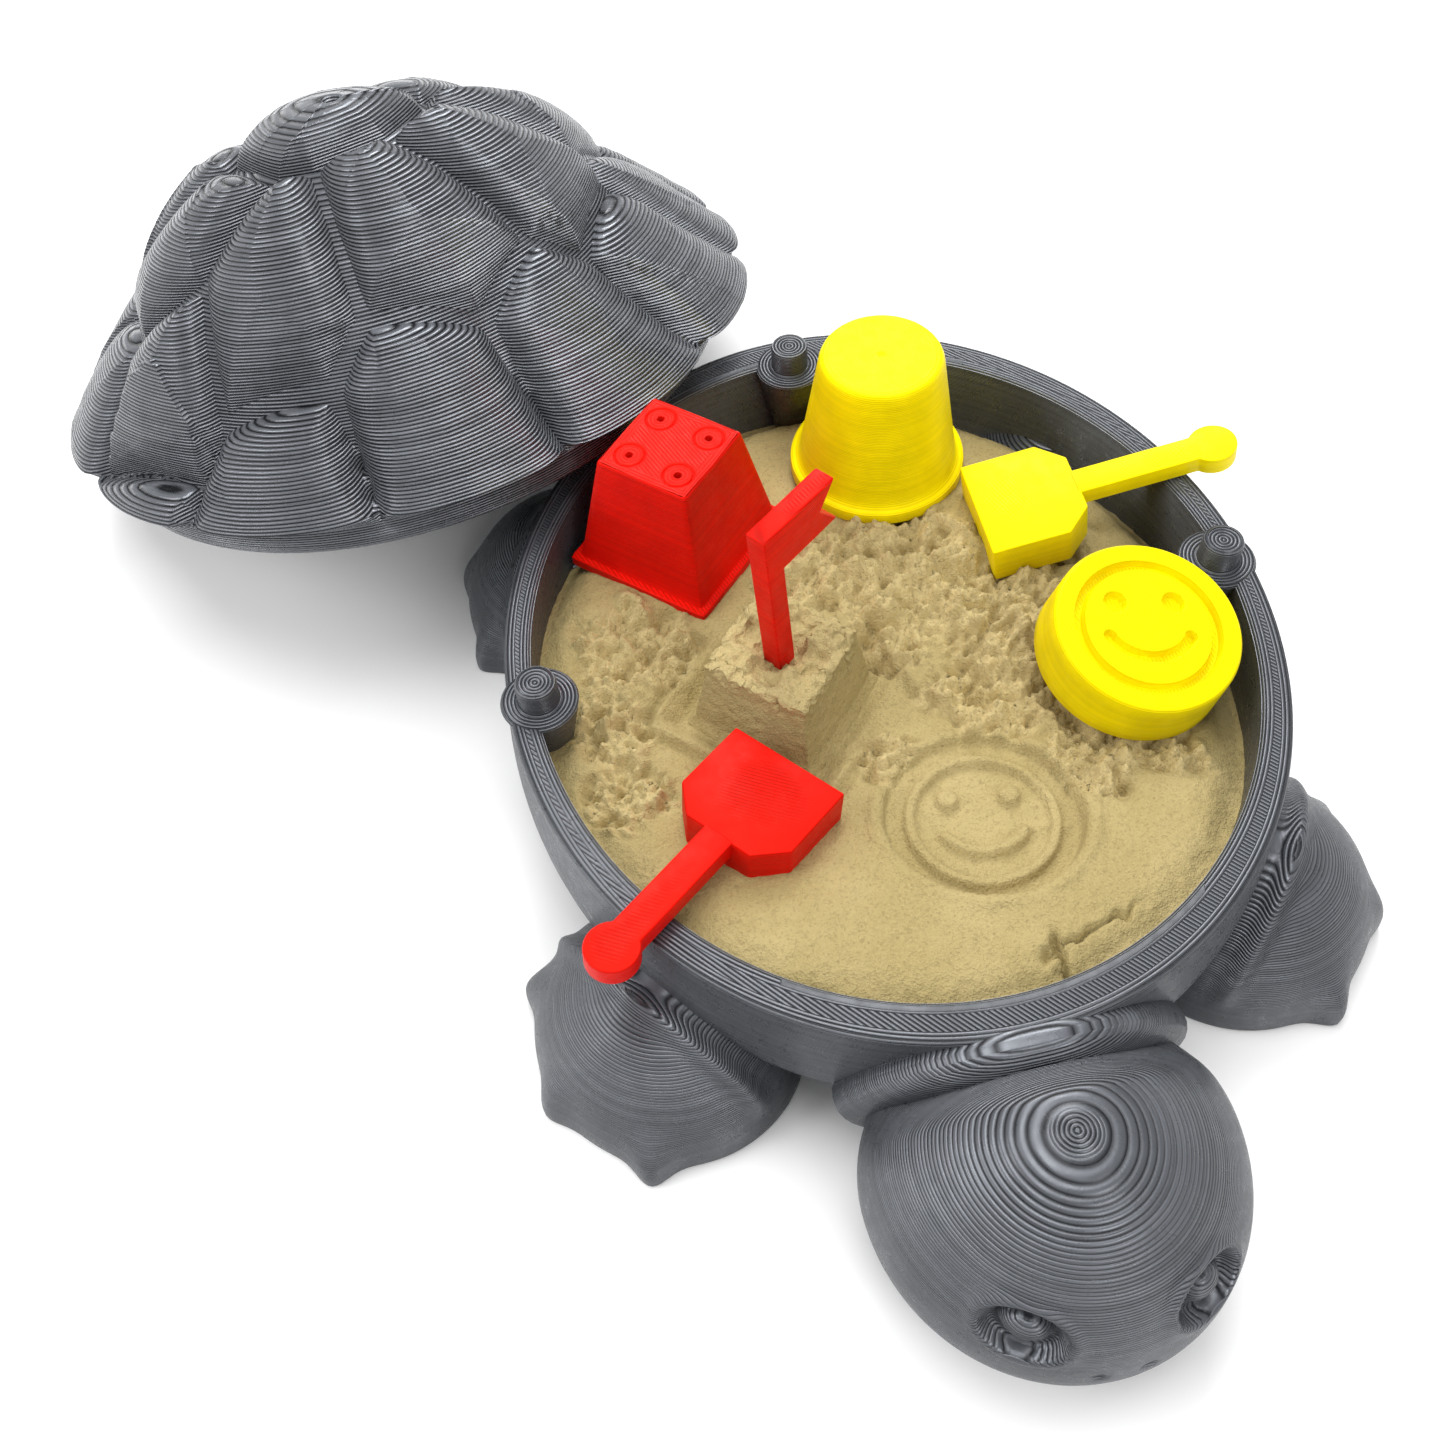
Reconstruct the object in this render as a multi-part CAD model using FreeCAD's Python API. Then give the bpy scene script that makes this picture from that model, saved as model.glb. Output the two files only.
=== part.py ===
import FreeCAD, Part
import math
import os

# Turtle-shaped toy sandbox with a lift-off shell lid, moulded sand and loose sand toys.
# Millimetres. Origin on the floor under the middle of the bowl, +Z up, head towards -Y, tail towards +Y.

V = FreeCAD.Vector
UP = V(0, 0, 1)

# ---------------------------------------------------------------- driving dimensions: bowl
RIM_WIDTH = 90.2            # outside of the rim, side to side
RIM_LENGTH = 103.8          # outside of the rim, head to tail
RIM_HEIGHT = 24.0           # rim top above the floor
SIDE_WALL = 3.1             # rim band at the two sides
END_WALL = 4.5              # rim band at head and tail
FLOOR_THICKNESS = 2.4
FOOT_INSET = 8.6            # how far the underside is drawn in from the rim, all round
BELLY_BULGE = 0.8           # how far the wall swells past the rim
BELLY_HEIGHT = 13.0
INNER_INSET = 5.0           # how far the inner floor is drawn in from the inner rim edge
INNER_KNEE = 8.0            # height where the inner wall becomes nearly upright
RIM_X, RIM_Y = RIM_WIDTH / 2, RIM_LENGTH / 2

# ---------------------------------------------------------------- driving dimensions: rim pegs
PEG_RADIUS = 2.45
PEG_HEIGHT = 3.4
PEG_CHAMFER = 0.4
PEG_BOSS_RADIUS = 4.6
PEG_INSET = 0.55            # peg axis inside the inner rim edge

# ---------------------------------------------------------------- driving dimensions: head and flippers
HEAD_HALF_WIDTH = 19.5
HEAD_FRONT = 20.0           # from the widest section to the snout
HEAD_BACK = 17.0            # from the widest section towards the neck
HEAD_CENTRE_Y = -RIM_Y - 9.6
HEAD_CENTRE_Z = 11.5
HEAD_TOP = 27.3
NECK_HALF_WIDTH = 19.6
NECK_TOP = 23.6
NECK_FRONT_Y = -RIM_Y - 2.3
NECK_BACK_Y = -RIM_Y + 7.9
NECK_ROUND = 2.2
FLIPPER_CENTRE = (RIM_X - 10.6, RIM_Y - 18.1)
FLIPPER_ANGLE = 44.0        # flipper axis from the side direction
FLIPPER_REACH = 15.4        # half length along the axis
FLIPPER_HALF_WIDTH = 16.0
FLIPPER_TOP = 16.0
CLAW_SPOTS = ((12.4, -7.5), (12.3, 5.0), (4.3, 13.2))     # from the flipper centre
CLAW_RADIUS = 2.6

# ---------------------------------------------------------------- driving dimensions: lid
LID_FLARE = 1.4             # lid edge outside the bowl rim, all round
LID_HEIGHT = 36.0
LID_SKIRT = 4.0
DOME_SECTIONS = (0.0, 0.2, 0.4, 0.58, 0.74, 0.87, 0.96, 0.995)     # shares of the dome's rise
DOME_POINTEDNESS = 0.6
LID_WALL = 2.4
LID_SOCKET_CLEARANCE = 0.25
LID_SOCKET_SPARE_DEPTH = 0.6
LID_BOSS_HEIGHT = 8.0
LID_SPOT = (-RIM_X - 5.4, RIM_Y + 24.1)     # middle of the lid, leaning with one end on the floor
LID_AXIS = V(-0.0774, 0.2602, 0.9625)
LID_YAW = -5.0

# ---------------------------------------------------------------- driving dimensions: sand
SAND_LEVEL = RIM_HEIGHT - 7.0
HEAP_START_Y = -12.0
HEAP_SLOPE = 0.15
REST_GAP = 0.3              # loose pieces rest this far clear of the sand and of each other
CASTLE_CENTRE = (-13.1, -2.5)
CASTLE_TURN = 47.0
CASTLE_HEIGHT = 10.3
CASTLE_STEP = 1.2           # corner turrets stand this far above the sunken cross
CASTLE_TURRET = 3.6

# ---------------------------------------------------------------- driving dimensions: castle mould
MOULD_CENTRE = (-20.2, RIM_Y - 26.6)
MOULD_TURN = 46.0
MOULD_HEIGHT = 17.2
MOULD_TOP_HALF = 6.4
MOULD_BASE_HALF = 9.5
MOULD_LIP_OUT = 0.7
MOULD_LIP_HEIGHT = 1.6
MOULD_WALL = 1.0
MOULD_ROOF = 1.2
MOULD_CROSS_WIDTH = 3.2
VENT_RADIUS = 0.5

# ---------------------------------------------------------------- driving dimensions: bucket
BUCKET_CENTRE = (8.4, RIM_Y - 19.5)
BUCKET_HEIGHT = 18.7
BUCKET_TOP_RADIUS = 7.75
BUCKET_BASE_RADIUS = 10.8
BUCKET_LIP_OUT = 0.8
BUCKET_LIP_HEIGHT = 2.0
BUCKET_WALL = 1.1
BUCKET_ROOF = 1.2

# ---------------------------------------------------------------- driving dimensions: stamp
STAMP_CENTRE = (RIM_X - 17.0, -9.9)
STAMP_FACE_RADIUS = 11.0
STAMP_BACK_RADIUS = 11.4
STAMP_THICKNESS = 7.0
STAMP_AXIS = V(0.109, -0.173, 0.979)
STAMP_SPIN = -10.0
RELIEF_DEPTH = 0.7
RING_OUTER = 8.5
RING_WIDTH = 0.9
EYE_RADIUS = 1.25
EYE_SPOT = (3.45, 3.1)
SMILE_RADIUS = 5.6
SMILE_WIDTH = 1.1
SMILE_RISE = 1.6            # centre of the smile's arc above the middle of the face
SMILE_SPAN = 116.0          # degrees of arc

# ---------------------------------------------------------------- driving dimensions: shovels
BLADE_HALF_WIDTH = 7.5
BLADE_SIDE = 9.8
BLADE_CORNER = 3.2
BLADE_DEPTH = 5.5
BLADE_SKIN = 1.6
BLADE_WALL = 1.3
HANDLE_WIDTH = 3.8
HANDLE_THICKNESS = 2.5
KNOB_RADIUS = 3.0
SHOVEL_LENGTH = 30.2        # digging edge to knob centre
RED_EDGE = V(-15.4, -15.4, RIM_HEIGHT + 0.3)
RED_KNOB = V(-38.1, -34.3, RIM_HEIGHT + 3.6)
YELLOW_EDGE = V(RIM_X - 28.6, 15.9, RIM_HEIGHT - 1.1)
YELLOW_KNOB = V(RIM_X + 1.6, 14.9, RIM_HEIGHT + 3.7)

# ---------------------------------------------------------------- driving dimensions: flag
POLE_SIDE = 2.6
POLE_HEIGHT = 20.5          # above the castle
POLE_DEPTH = 6.0            # down inside the castle
POLE_SEAT_GAP = 0.3
POLE_LEAN = 3.5             # degrees towards -X
PENNANT_LENGTH = 8.8
PENNANT_HEIGHT = 6.2
PENNANT_NOTCH = 2.6
PENNANT_TURN = 36.0


# ---------------------------------------------------------------- helpers
def ellipse_wire(half_x, half_y, z, centre=(0, 0)):
    """Closed elliptical wire, long axis along Y when half_y is the larger."""
    middle = V(centre[0], centre[1], z)
    along_x, along_y = V(half_x, 0, 0), V(0, half_y, 0)
    long_axis, short_axis = (along_y, along_x) if half_y >= half_x else (along_x, along_y)
    curve = Part.Ellipse(middle + long_axis, middle + short_axis, middle)
    return Part.Wire([curve.toShape()])


def square_wire(half, z, centre, turn):
    """Closed square wire of the given half side, turned in plan."""
    corners = [V(half, half, z), V(-half, half, z), V(-half, -half, z), V(half, -half, z)]
    wire = Part.makePolygon(corners + corners[:1])
    wire.rotate(V(0, 0, 0), UP, turn)
    wire.translate(V(centre[0], centre[1], 0))
    return wire


def loft(wires):
    return Part.makeLoft(wires, True, False)


def straight_loft(wires):
    return Part.makeLoft(wires, True, True)


def prism(points, height):
    """Extrusion of a closed plan outline straight up from its own height."""
    outline = Part.makePolygon([V(*p) for p in points] + [V(*points[0])])
    return Part.Face(outline).extrude(V(0, 0, height))


def stretched_ball(half_x, half_y, half_z, centre):
    ball = Part.makeSphere(1.0)
    matrix = FreeCAD.Matrix()
    matrix.scale(half_x, half_y, half_z)
    ball = ball.transformGeometry(matrix)
    ball.translate(centre)
    return ball


def above_floor(shape):
    size = 4 * RIM_LENGTH
    return shape.common(Part.makeBox(size, size, size, V(-size / 2, -size / 2, 0)))


def turned_profile(points):
    """Solid of revolution about Z from (radius, height) points joined by straight lines."""
    outline = Part.makePolygon([V(r, 0, z) for r, z in points] + [V(points[0][0], 0, points[0][1])])
    return Part.Face(outline).revolve(V(0, 0, 0), UP, 360)


def frame_placement(origin, along, normal_hint):
    """Placement whose X runs along 'along' and whose Z is as near 'normal_hint' as it can be."""
    x_dir = V(along).normalize()
    y_dir = normal_hint.cross(x_dir).normalize()
    z_dir = x_dir.cross(y_dir)
    rotation = FreeCAD.Rotation(x_dir, y_dir, z_dir, "ZXY")
    return FreeCAD.Placement(origin, rotation)


def placed(shape, placement):
    copy = shape.copy()
    copy.transformShape(placement.toMatrix(), True)
    return copy


# ---------------------------------------------------------------- bowl
INNER_X, INNER_Y = RIM_X - SIDE_WALL, RIM_Y - END_WALL
PEG_SPOTS = ((INNER_X - PEG_INSET, 0), (-(INNER_X - PEG_INSET), 0), (0, INNER_Y - PEG_INSET))


def bowl_outside():
    """Filled outer form: drawn-in foot, swollen belly, upright rim."""
    return loft([
        ellipse_wire(RIM_X - FOOT_INSET, RIM_Y - FOOT_INSET, 0),
        ellipse_wire(RIM_X - FOOT_INSET * 0.22, RIM_Y - FOOT_INSET * 0.22, BELLY_HEIGHT * 0.42),
        ellipse_wire(RIM_X + BELLY_BULGE, RIM_Y + BELLY_BULGE, BELLY_HEIGHT),
        ellipse_wire(RIM_X, RIM_Y, RIM_HEIGHT),
    ])


def bowl_inside():
    """Space inside the bowl from its floor to the rim."""
    return straight_loft([
        ellipse_wire(INNER_X - INNER_INSET, INNER_Y - INNER_INSET, FLOOR_THICKNESS),
        ellipse_wire(INNER_X - 0.6, INNER_Y - 0.6, INNER_KNEE),
        ellipse_wire(INNER_X, INNER_Y, RIM_HEIGHT),
    ])


def posts(bottom, top):
    """Round columns at the three peg spots."""
    columns = [Part.makeCylinder(PEG_BOSS_RADIUS, top - bottom, V(x, y, bottom)) for x, y in PEG_SPOTS]
    return columns[0].multiFuse(columns[1:])


def bowl_space():
    """What the bowl can hold: its inside less the columns that carry the pegs up the wall."""
    return bowl_inside().cut(posts(0, RIM_HEIGHT + 1))


def make_pegs():
    pegs = []
    for x, y in PEG_SPOTS:
        peg = Part.makeCylinder(PEG_RADIUS, PEG_HEIGHT, V(x, y, RIM_HEIGHT))
        top_edges = [e for e in peg.Edges if e.BoundBox.ZMin > RIM_HEIGHT + PEG_HEIGHT / 2
                     and e.Closed]
        pegs.append(peg.makeChamfer(PEG_CHAMFER, top_edges))
    return Part.makeCompound(pegs)


# ---------------------------------------------------------------- head, neck and flippers
def make_neck(outside):
    """Rounded collar plate between the bowl and the head."""
    plate = Part.Face(ellipse_wire(NECK_HALF_WIDTH, NECK_TOP, 0)).extrude(V(0, 0, NECK_FRONT_Y - NECK_BACK_Y))
    front = [e for e in plate.Edges if e.BoundBox.ZMax < NECK_FRONT_Y - NECK_BACK_Y + NECK_ROUND]
    plate = plate.makeFillet(NECK_ROUND, front)
    plate.rotate(V(0, 0, 0), V(1, 0, 0), -90)
    plate.translate(V(0, NECK_BACK_Y, 0))
    return above_floor(plate).cut(outside)


def make_head(outside, neck):
    """Domed head: a short rear half and a longer snout half, flat underneath."""
    half_z = HEAD_TOP - HEAD_CENTRE_Z
    centre = V(0, HEAD_CENTRE_Y, HEAD_CENTRE_Z)
    front_box = Part.makeBox(120, 60, 120, V(-60, HEAD_CENTRE_Y - 60, -60))
    back_box = Part.makeBox(120, 60, 120, V(-60, HEAD_CENTRE_Y, -60))
    front = stretched_ball(HEAD_HALF_WIDTH, HEAD_FRONT, half_z, centre).common(front_box)
    back = stretched_ball(HEAD_HALF_WIDTH, HEAD_BACK, half_z, centre).common(back_box)
    return above_floor(front.fuse(back)).cut(outside).cut(neck)


def make_flipper(outside, side, end):
    """Low domed flipper with three claw bumps; side and end are +1 or -1."""
    lobe = stretched_ball(FLIPPER_REACH, FLIPPER_HALF_WIDTH, FLIPPER_TOP, V(0, 0, 0))
    lobe.rotate(V(0, 0, 0), UP, FLIPPER_ANGLE)
    claws = [stretched_ball(CLAW_RADIUS, CLAW_RADIUS, CLAW_RADIUS, V(x, y, 0)) for x, y in CLAW_SPOTS]
    flipper = above_floor(lobe.multiFuse(claws))
    flipper.translate(V(FLIPPER_CENTRE[0], FLIPPER_CENTRE[1], 0))
    if side < 0:
        flipper = flipper.mirror(V(0, 0, 0), V(1, 0, 0))
    if end < 0:
        flipper = flipper.mirror(V(0, 0, 0), V(0, 1, 0))
    return flipper.cut(outside)


# ---------------------------------------------------------------- lid
LID_X, LID_Y = RIM_X + LID_FLARE, RIM_Y + LID_FLARE


def dome(half_x, half_y, top, skirt):
    """Domed cap above an upright skirt, a little more pointed than an ellipsoid."""
    sections = [ellipse_wire(half_x, half_y, 0)]
    for height in DOME_SECTIONS:
        share = (1 - height ** 2) ** DOME_POINTEDNESS
        sections.append(ellipse_wire(half_x * share, half_y * share, skirt + (top - skirt) * height))
    return loft(sections)


def lid_placement():
    """Leaning so that the lowest point of the lid's edge is on the floor."""
    turn = FreeCAD.Rotation(UP, LID_AXIS).multiply(FreeCAD.Rotation(UP, LID_YAW))
    across, along = turn.multVec(V(1, 0, 0)), turn.multVec(V(0, 1, 0))
    height = math.hypot(LID_X * across.z, LID_Y * along.z)
    return FreeCAD.Placement(V(LID_SPOT[0], LID_SPOT[1], height), turn)


def make_lid():
    """Shell with an open underside and three socket posts that drop over the rim pegs."""
    hollow = dome(INNER_X, INNER_Y, LID_HEIGHT - LID_WALL, LID_SKIRT).cut(posts(0, LID_BOSS_HEIGHT))
    shell = dome(LID_X, LID_Y, LID_HEIGHT, LID_SKIRT).cut(hollow)
    depth = PEG_HEIGHT + LID_SOCKET_SPARE_DEPTH
    for x, y in PEG_SPOTS:
        shell = shell.cut(Part.makeCylinder(PEG_RADIUS + LID_SOCKET_CLEARANCE, depth, V(x, y, 0)))
    return placed(shell, lid_placement())


# ---------------------------------------------------------------- sand
def make_sand_bed():
    block = Part.makeBox(2 * RIM_WIDTH, 2 * RIM_LENGTH, SAND_LEVEL, V(-RIM_WIDTH, -RIM_LENGTH, 0))
    return bowl_space().common(block)


def make_sand_heap():
    """Sand piled against the head end of the bowl, above the level bed."""
    far_y = -RIM_LENGTH
    high = SAND_LEVEL + (HEAP_START_Y - far_y) * HEAP_SLOPE
    outline = Part.makePolygon([V(-RIM_WIDTH, HEAP_START_Y, SAND_LEVEL), V(-RIM_WIDTH, far_y, SAND_LEVEL),
                                V(-RIM_WIDTH, far_y, high), V(-RIM_WIDTH, HEAP_START_Y, SAND_LEVEL)])
    wedge = Part.Face(outline).extrude(V(2 * RIM_WIDTH, 0, 0))
    return bowl_space().common(wedge)


def mould_taper():
    return (MOULD_BASE_HALF - MOULD_TOP_HALF) / MOULD_HEIGHT


def castle_half(depth):
    """Half side of the castle at a depth below its top: what the inside of the mould makes."""
    return MOULD_TOP_HALF - MOULD_WALL + REST_GAP + mould_taper() * depth


def pole_placement():
    foot = V(CASTLE_CENTRE[0] - 0.4, CASTLE_CENTRE[1], SAND_LEVEL + CASTLE_HEIGHT)
    return FreeCAD.Placement(foot, FreeCAD.Rotation(V(0, 1, 0), -POLE_LEAN))


def make_sand_castle():
    """Sand block with four corner turrets, a sunken cross and the square hole left for the pole."""
    top = SAND_LEVEL + CASTLE_HEIGHT
    block = straight_loft([
        square_wire(castle_half(CASTLE_HEIGHT), SAND_LEVEL, CASTLE_CENTRE, CASTLE_TURN),
        square_wire(castle_half(0), top, CASTLE_CENTRE, CASTLE_TURN),
    ])
    half_gap = castle_half(0) - CASTLE_TURRET
    long_side = 4 * castle_half(CASTLE_HEIGHT)
    for turn in (CASTLE_TURN, CASTLE_TURN + 90):
        channel = Part.makeBox(long_side, 2 * half_gap, CASTLE_STEP, V(-long_side / 2, -half_gap, 0))
        channel.rotate(V(0, 0, 0), UP, turn)
        channel.translate(V(CASTLE_CENTRE[0], CASTLE_CENTRE[1], top - CASTLE_STEP))
        block = block.cut(channel)
    wide = POLE_SIDE + 2 * POLE_SEAT_GAP
    hole = Part.makeBox(wide, wide, POLE_DEPTH + POLE_SEAT_GAP + 2 * CASTLE_STEP,
                        V(-wide / 2, -wide / 2, -POLE_DEPTH - POLE_SEAT_GAP))
    hole.rotate(V(0, 0, 0), UP, PENNANT_TURN)
    return block.cut(placed(hole, pole_placement()))


# ---------------------------------------------------------------- castle mould
def make_mould():
    """Square bucket-like mould standing upside down: closed and vented on top, open below."""
    base = SAND_LEVEL + REST_GAP
    top = base + MOULD_HEIGHT
    taper = mould_taper()
    lip_half = MOULD_BASE_HALF + MOULD_LIP_OUT
    body = straight_loft([square_wire(MOULD_BASE_HALF, base, MOULD_CENTRE, MOULD_TURN),
                          square_wire(MOULD_TOP_HALF, top, MOULD_CENTRE, MOULD_TURN)])
    lip = Part.Face(square_wire(lip_half, base, MOULD_CENTRE, MOULD_TURN)).extrude(V(0, 0, MOULD_LIP_HEIGHT))
    roof = top - MOULD_ROOF
    hollow = straight_loft([
        square_wire(MOULD_BASE_HALF - MOULD_WALL, base, MOULD_CENTRE, MOULD_TURN),
        square_wire(MOULD_TOP_HALF - MOULD_WALL + taper * MOULD_ROOF, roof, MOULD_CENTRE, MOULD_TURN),
    ])
    mould = body.fuse(lip).cut(hollow)
    ridge_length = 2 * (MOULD_TOP_HALF - MOULD_WALL / 2)
    for turn in (MOULD_TURN, MOULD_TURN + 90):
        ridge = Part.makeBox(ridge_length, MOULD_CROSS_WIDTH, CASTLE_STEP,
                             V(-ridge_length / 2, -MOULD_CROSS_WIDTH / 2, 0))
        ridge.rotate(V(0, 0, 0), UP, turn)
        ridge.translate(V(MOULD_CENTRE[0], MOULD_CENTRE[1], roof - CASTLE_STEP))
        mould = mould.fuse(ridge)
    vent_spot = (MOULD_TOP_HALF - MOULD_WALL + MOULD_CROSS_WIDTH / 2) / 2
    for corner in range(4):
        angle = math.radians(MOULD_TURN + 45 + 90 * corner)
        reach = vent_spot * math.sqrt(2)
        spot = V(MOULD_CENTRE[0] + reach * math.cos(angle), MOULD_CENTRE[1] + reach * math.sin(angle), roof - 1)
        mould = mould.cut(Part.makeCylinder(VENT_RADIUS, MOULD_ROOF + 2, spot))
    return mould.removeSplitter()


# ---------------------------------------------------------------- bucket
def make_bucket():
    """Round bucket standing upside down, its lip ring on the sand."""
    slope = (BUCKET_BASE_RADIUS - BUCKET_TOP_RADIUS) / BUCKET_HEIGHT
    lip = BUCKET_BASE_RADIUS + BUCKET_LIP_OUT
    lip_seat = BUCKET_BASE_RADIUS - slope * BUCKET_LIP_HEIGHT
    roof = BUCKET_HEIGHT - BUCKET_ROOF
    bucket = turned_profile([
        (BUCKET_BASE_RADIUS - BUCKET_WALL, 0), (lip, 0), (lip, BUCKET_LIP_HEIGHT),
        (lip_seat, BUCKET_LIP_HEIGHT), (BUCKET_TOP_RADIUS, BUCKET_HEIGHT), (VENT_RADIUS, BUCKET_HEIGHT),
        (VENT_RADIUS, roof), (BUCKET_TOP_RADIUS - BUCKET_WALL + slope * BUCKET_ROOF, roof),
    ])
    bucket.translate(V(BUCKET_CENTRE[0], BUCKET_CENTRE[1], SAND_LEVEL + REST_GAP))
    return bucket


# ---------------------------------------------------------------- stamp
def ring_cutter(outer, width, depth):
    ring = Part.makeCylinder(outer, depth + 1).cut(Part.makeCylinder(outer - width, depth + 1))
    ring.translate(V(0, 0, -depth))
    return ring


def smile_cutter():
    """Part of a ring below the eyes, as a groove cutter."""
    outer = SMILE_RADIUS + SMILE_WIDTH / 2
    ring = ring_cutter(outer, SMILE_WIDTH, RELIEF_DEPTH)
    reach = 2 * SMILE_RADIUS
    half_span = math.radians(SMILE_SPAN / 2)
    corner = (reach * math.sin(half_span), -reach * math.cos(half_span))
    wedge = prism([(0, 0, -RELIEF_DEPTH), (-corner[0], corner[1], -RELIEF_DEPTH),
                   (0, -2 * reach, -RELIEF_DEPTH), (corner[0], corner[1], -RELIEF_DEPTH)], RELIEF_DEPTH + 1)
    smile = ring.common(wedge)
    smile.translate(V(0, SMILE_RISE, 0))
    return smile


def stamp_placement():
    axis = V(STAMP_AXIS).normalize()
    lean = math.hypot(axis.x, axis.y)
    low_y = STAMP_CENTRE[1] - STAMP_THICKNESS * axis.y + STAMP_BACK_RADIUS * axis.z * axis.y / lean
    sand_below = SAND_LEVEL + max(0, HEAP_START_Y - low_y) * HEAP_SLOPE
    face_height = sand_below + REST_GAP + STAMP_BACK_RADIUS * lean + STAMP_THICKNESS * axis.z
    tilt = FreeCAD.Rotation(UP, axis).multiply(FreeCAD.Rotation(UP, STAMP_SPIN))
    return FreeCAD.Placement(V(STAMP_CENTRE[0], STAMP_CENTRE[1], face_height), tilt)


def make_stamp():
    """Thick puck, face up, with a ring, two eyes and a smile sunk in its face."""
    stamp = turned_profile([(0, -STAMP_THICKNESS), (STAMP_BACK_RADIUS, -STAMP_THICKNESS),
                            (STAMP_FACE_RADIUS, 0), (0, 0)])
    stamp = stamp.cut(ring_cutter(RING_OUTER, RING_WIDTH, RELIEF_DEPTH)).cut(smile_cutter())
    for side in (-1, 1):
        eye = Part.makeCylinder(EYE_RADIUS, RELIEF_DEPTH + 1, V(side * EYE_SPOT[0], EYE_SPOT[1], -RELIEF_DEPTH))
        stamp = stamp.cut(eye)
    return placed(stamp, stamp_placement())


# ---------------------------------------------------------------- shovels
def blade_outline(inset, front, z):
    """Half-hexagon blade in plan, drawn in by 'inset' except at its open digging edge."""
    half = BLADE_HALF_WIDTH - inset
    corner_shift = inset * math.tan(math.radians(22.5))
    side = BLADE_SIDE - corner_shift
    back = BLADE_SIDE + BLADE_CORNER - inset
    back_half = BLADE_HALF_WIDTH - BLADE_CORNER - corner_shift
    return [(front, -half, z), (side, -half, z), (back, -back_half, z),
            (back, back_half, z), (side, half, z), (front, half, z)]


def make_shovel(edge, knob):
    """Scoop with turned-down walls, a flat handle and a round knob, lying top side up."""
    blade = prism(blade_outline(0, 0, -BLADE_DEPTH), BLADE_DEPTH)
    pocket = prism(blade_outline(BLADE_WALL, -1, -BLADE_DEPTH - 1), BLADE_DEPTH + 1 - BLADE_SKIN)
    blade_length = BLADE_SIDE + BLADE_CORNER
    handle = Part.makeBox(SHOVEL_LENGTH - blade_length + BLADE_WALL / 2, HANDLE_WIDTH, HANDLE_THICKNESS,
                          V(blade_length - BLADE_WALL / 2, -HANDLE_WIDTH / 2, -HANDLE_THICKNESS))
    grip = Part.makeCylinder(KNOB_RADIUS, HANDLE_THICKNESS, V(SHOVEL_LENGTH, 0, -HANDLE_THICKNESS))
    shovel = blade.cut(pocket).fuse(handle).fuse(grip).removeSplitter()
    return placed(shovel, frame_placement(edge, knob - edge, UP))


# ---------------------------------------------------------------- flag
def make_flag():
    """Square pole with a swallow-tailed pennant of the same thickness."""
    half = POLE_SIDE / 2
    outline = [V(-half, -half, -POLE_DEPTH), V(half, -half, -POLE_DEPTH),
               V(half, -half, POLE_HEIGHT - PENNANT_HEIGHT),
               V(half + PENNANT_LENGTH, -half, POLE_HEIGHT - PENNANT_HEIGHT),
               V(half + PENNANT_LENGTH - PENNANT_NOTCH, -half, POLE_HEIGHT - PENNANT_HEIGHT / 2),
               V(half + PENNANT_LENGTH, -half, POLE_HEIGHT), V(-half, -half, POLE_HEIGHT)]
    flag = Part.Face(Part.makePolygon(outline + outline[:1])).extrude(V(0, POLE_SIDE, 0))
    flag.rotate(V(0, 0, 0), UP, PENNANT_TURN)
    return placed(flag, pole_placement())


# ---------------------------------------------------------------- assembly
def build():
    outside = bowl_outside()
    neck = make_neck(outside)
    nodes = {
        "bowl": outside.cut(bowl_space()),
        "rim_pegs": make_pegs(),
        "neck_collar": neck,
        "head": make_head(outside, neck),
        "shell_lid": make_lid(),
        "sand_bed": make_sand_bed(),
        "sand_heap": make_sand_heap(),
        "sand_castle": make_sand_castle(),
        "castle_mould": make_mould(),
        "bucket": make_bucket(),
        "smiley_stamp": make_stamp(),
        "red_shovel": make_shovel(RED_EDGE, RED_KNOB),
        "yellow_shovel": make_shovel(YELLOW_EDGE, YELLOW_KNOB),
        "flag": make_flag(),
    }
    for side, side_name in ((1, "left"), (-1, "right")):
        for end, end_name in ((-1, "front"), (1, "rear")):
            nodes["flipper_%s_%s" % (end_name, side_name)] = make_flipper(outside, side, end)
    return nodes


os.makedirs("parts", exist_ok=True)
for node_name, node_shape in build().items():
    node_shape.exportStep("parts/%s.step" % node_name)
    print("%-22s solids %d valid %s volume %.1f" % (
        node_name, len(node_shape.Solids), node_shape.isValid(), node_shape.Volume))
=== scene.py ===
"""Turtle toy sandbox with its shell lid, sand and printed sand toys.

Lengths are in millimetres until a piece is finished, when its mesh is brought to metres.
The turtle's head points to -Y and its left side is +X.
"""
import logging
import math
from dataclasses import dataclass, field, replace
from enum import Enum
from typing import Callable, Iterable, Optional, Sequence

import bmesh
import bpy
from mathutils import Matrix, Vector, noise


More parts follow.
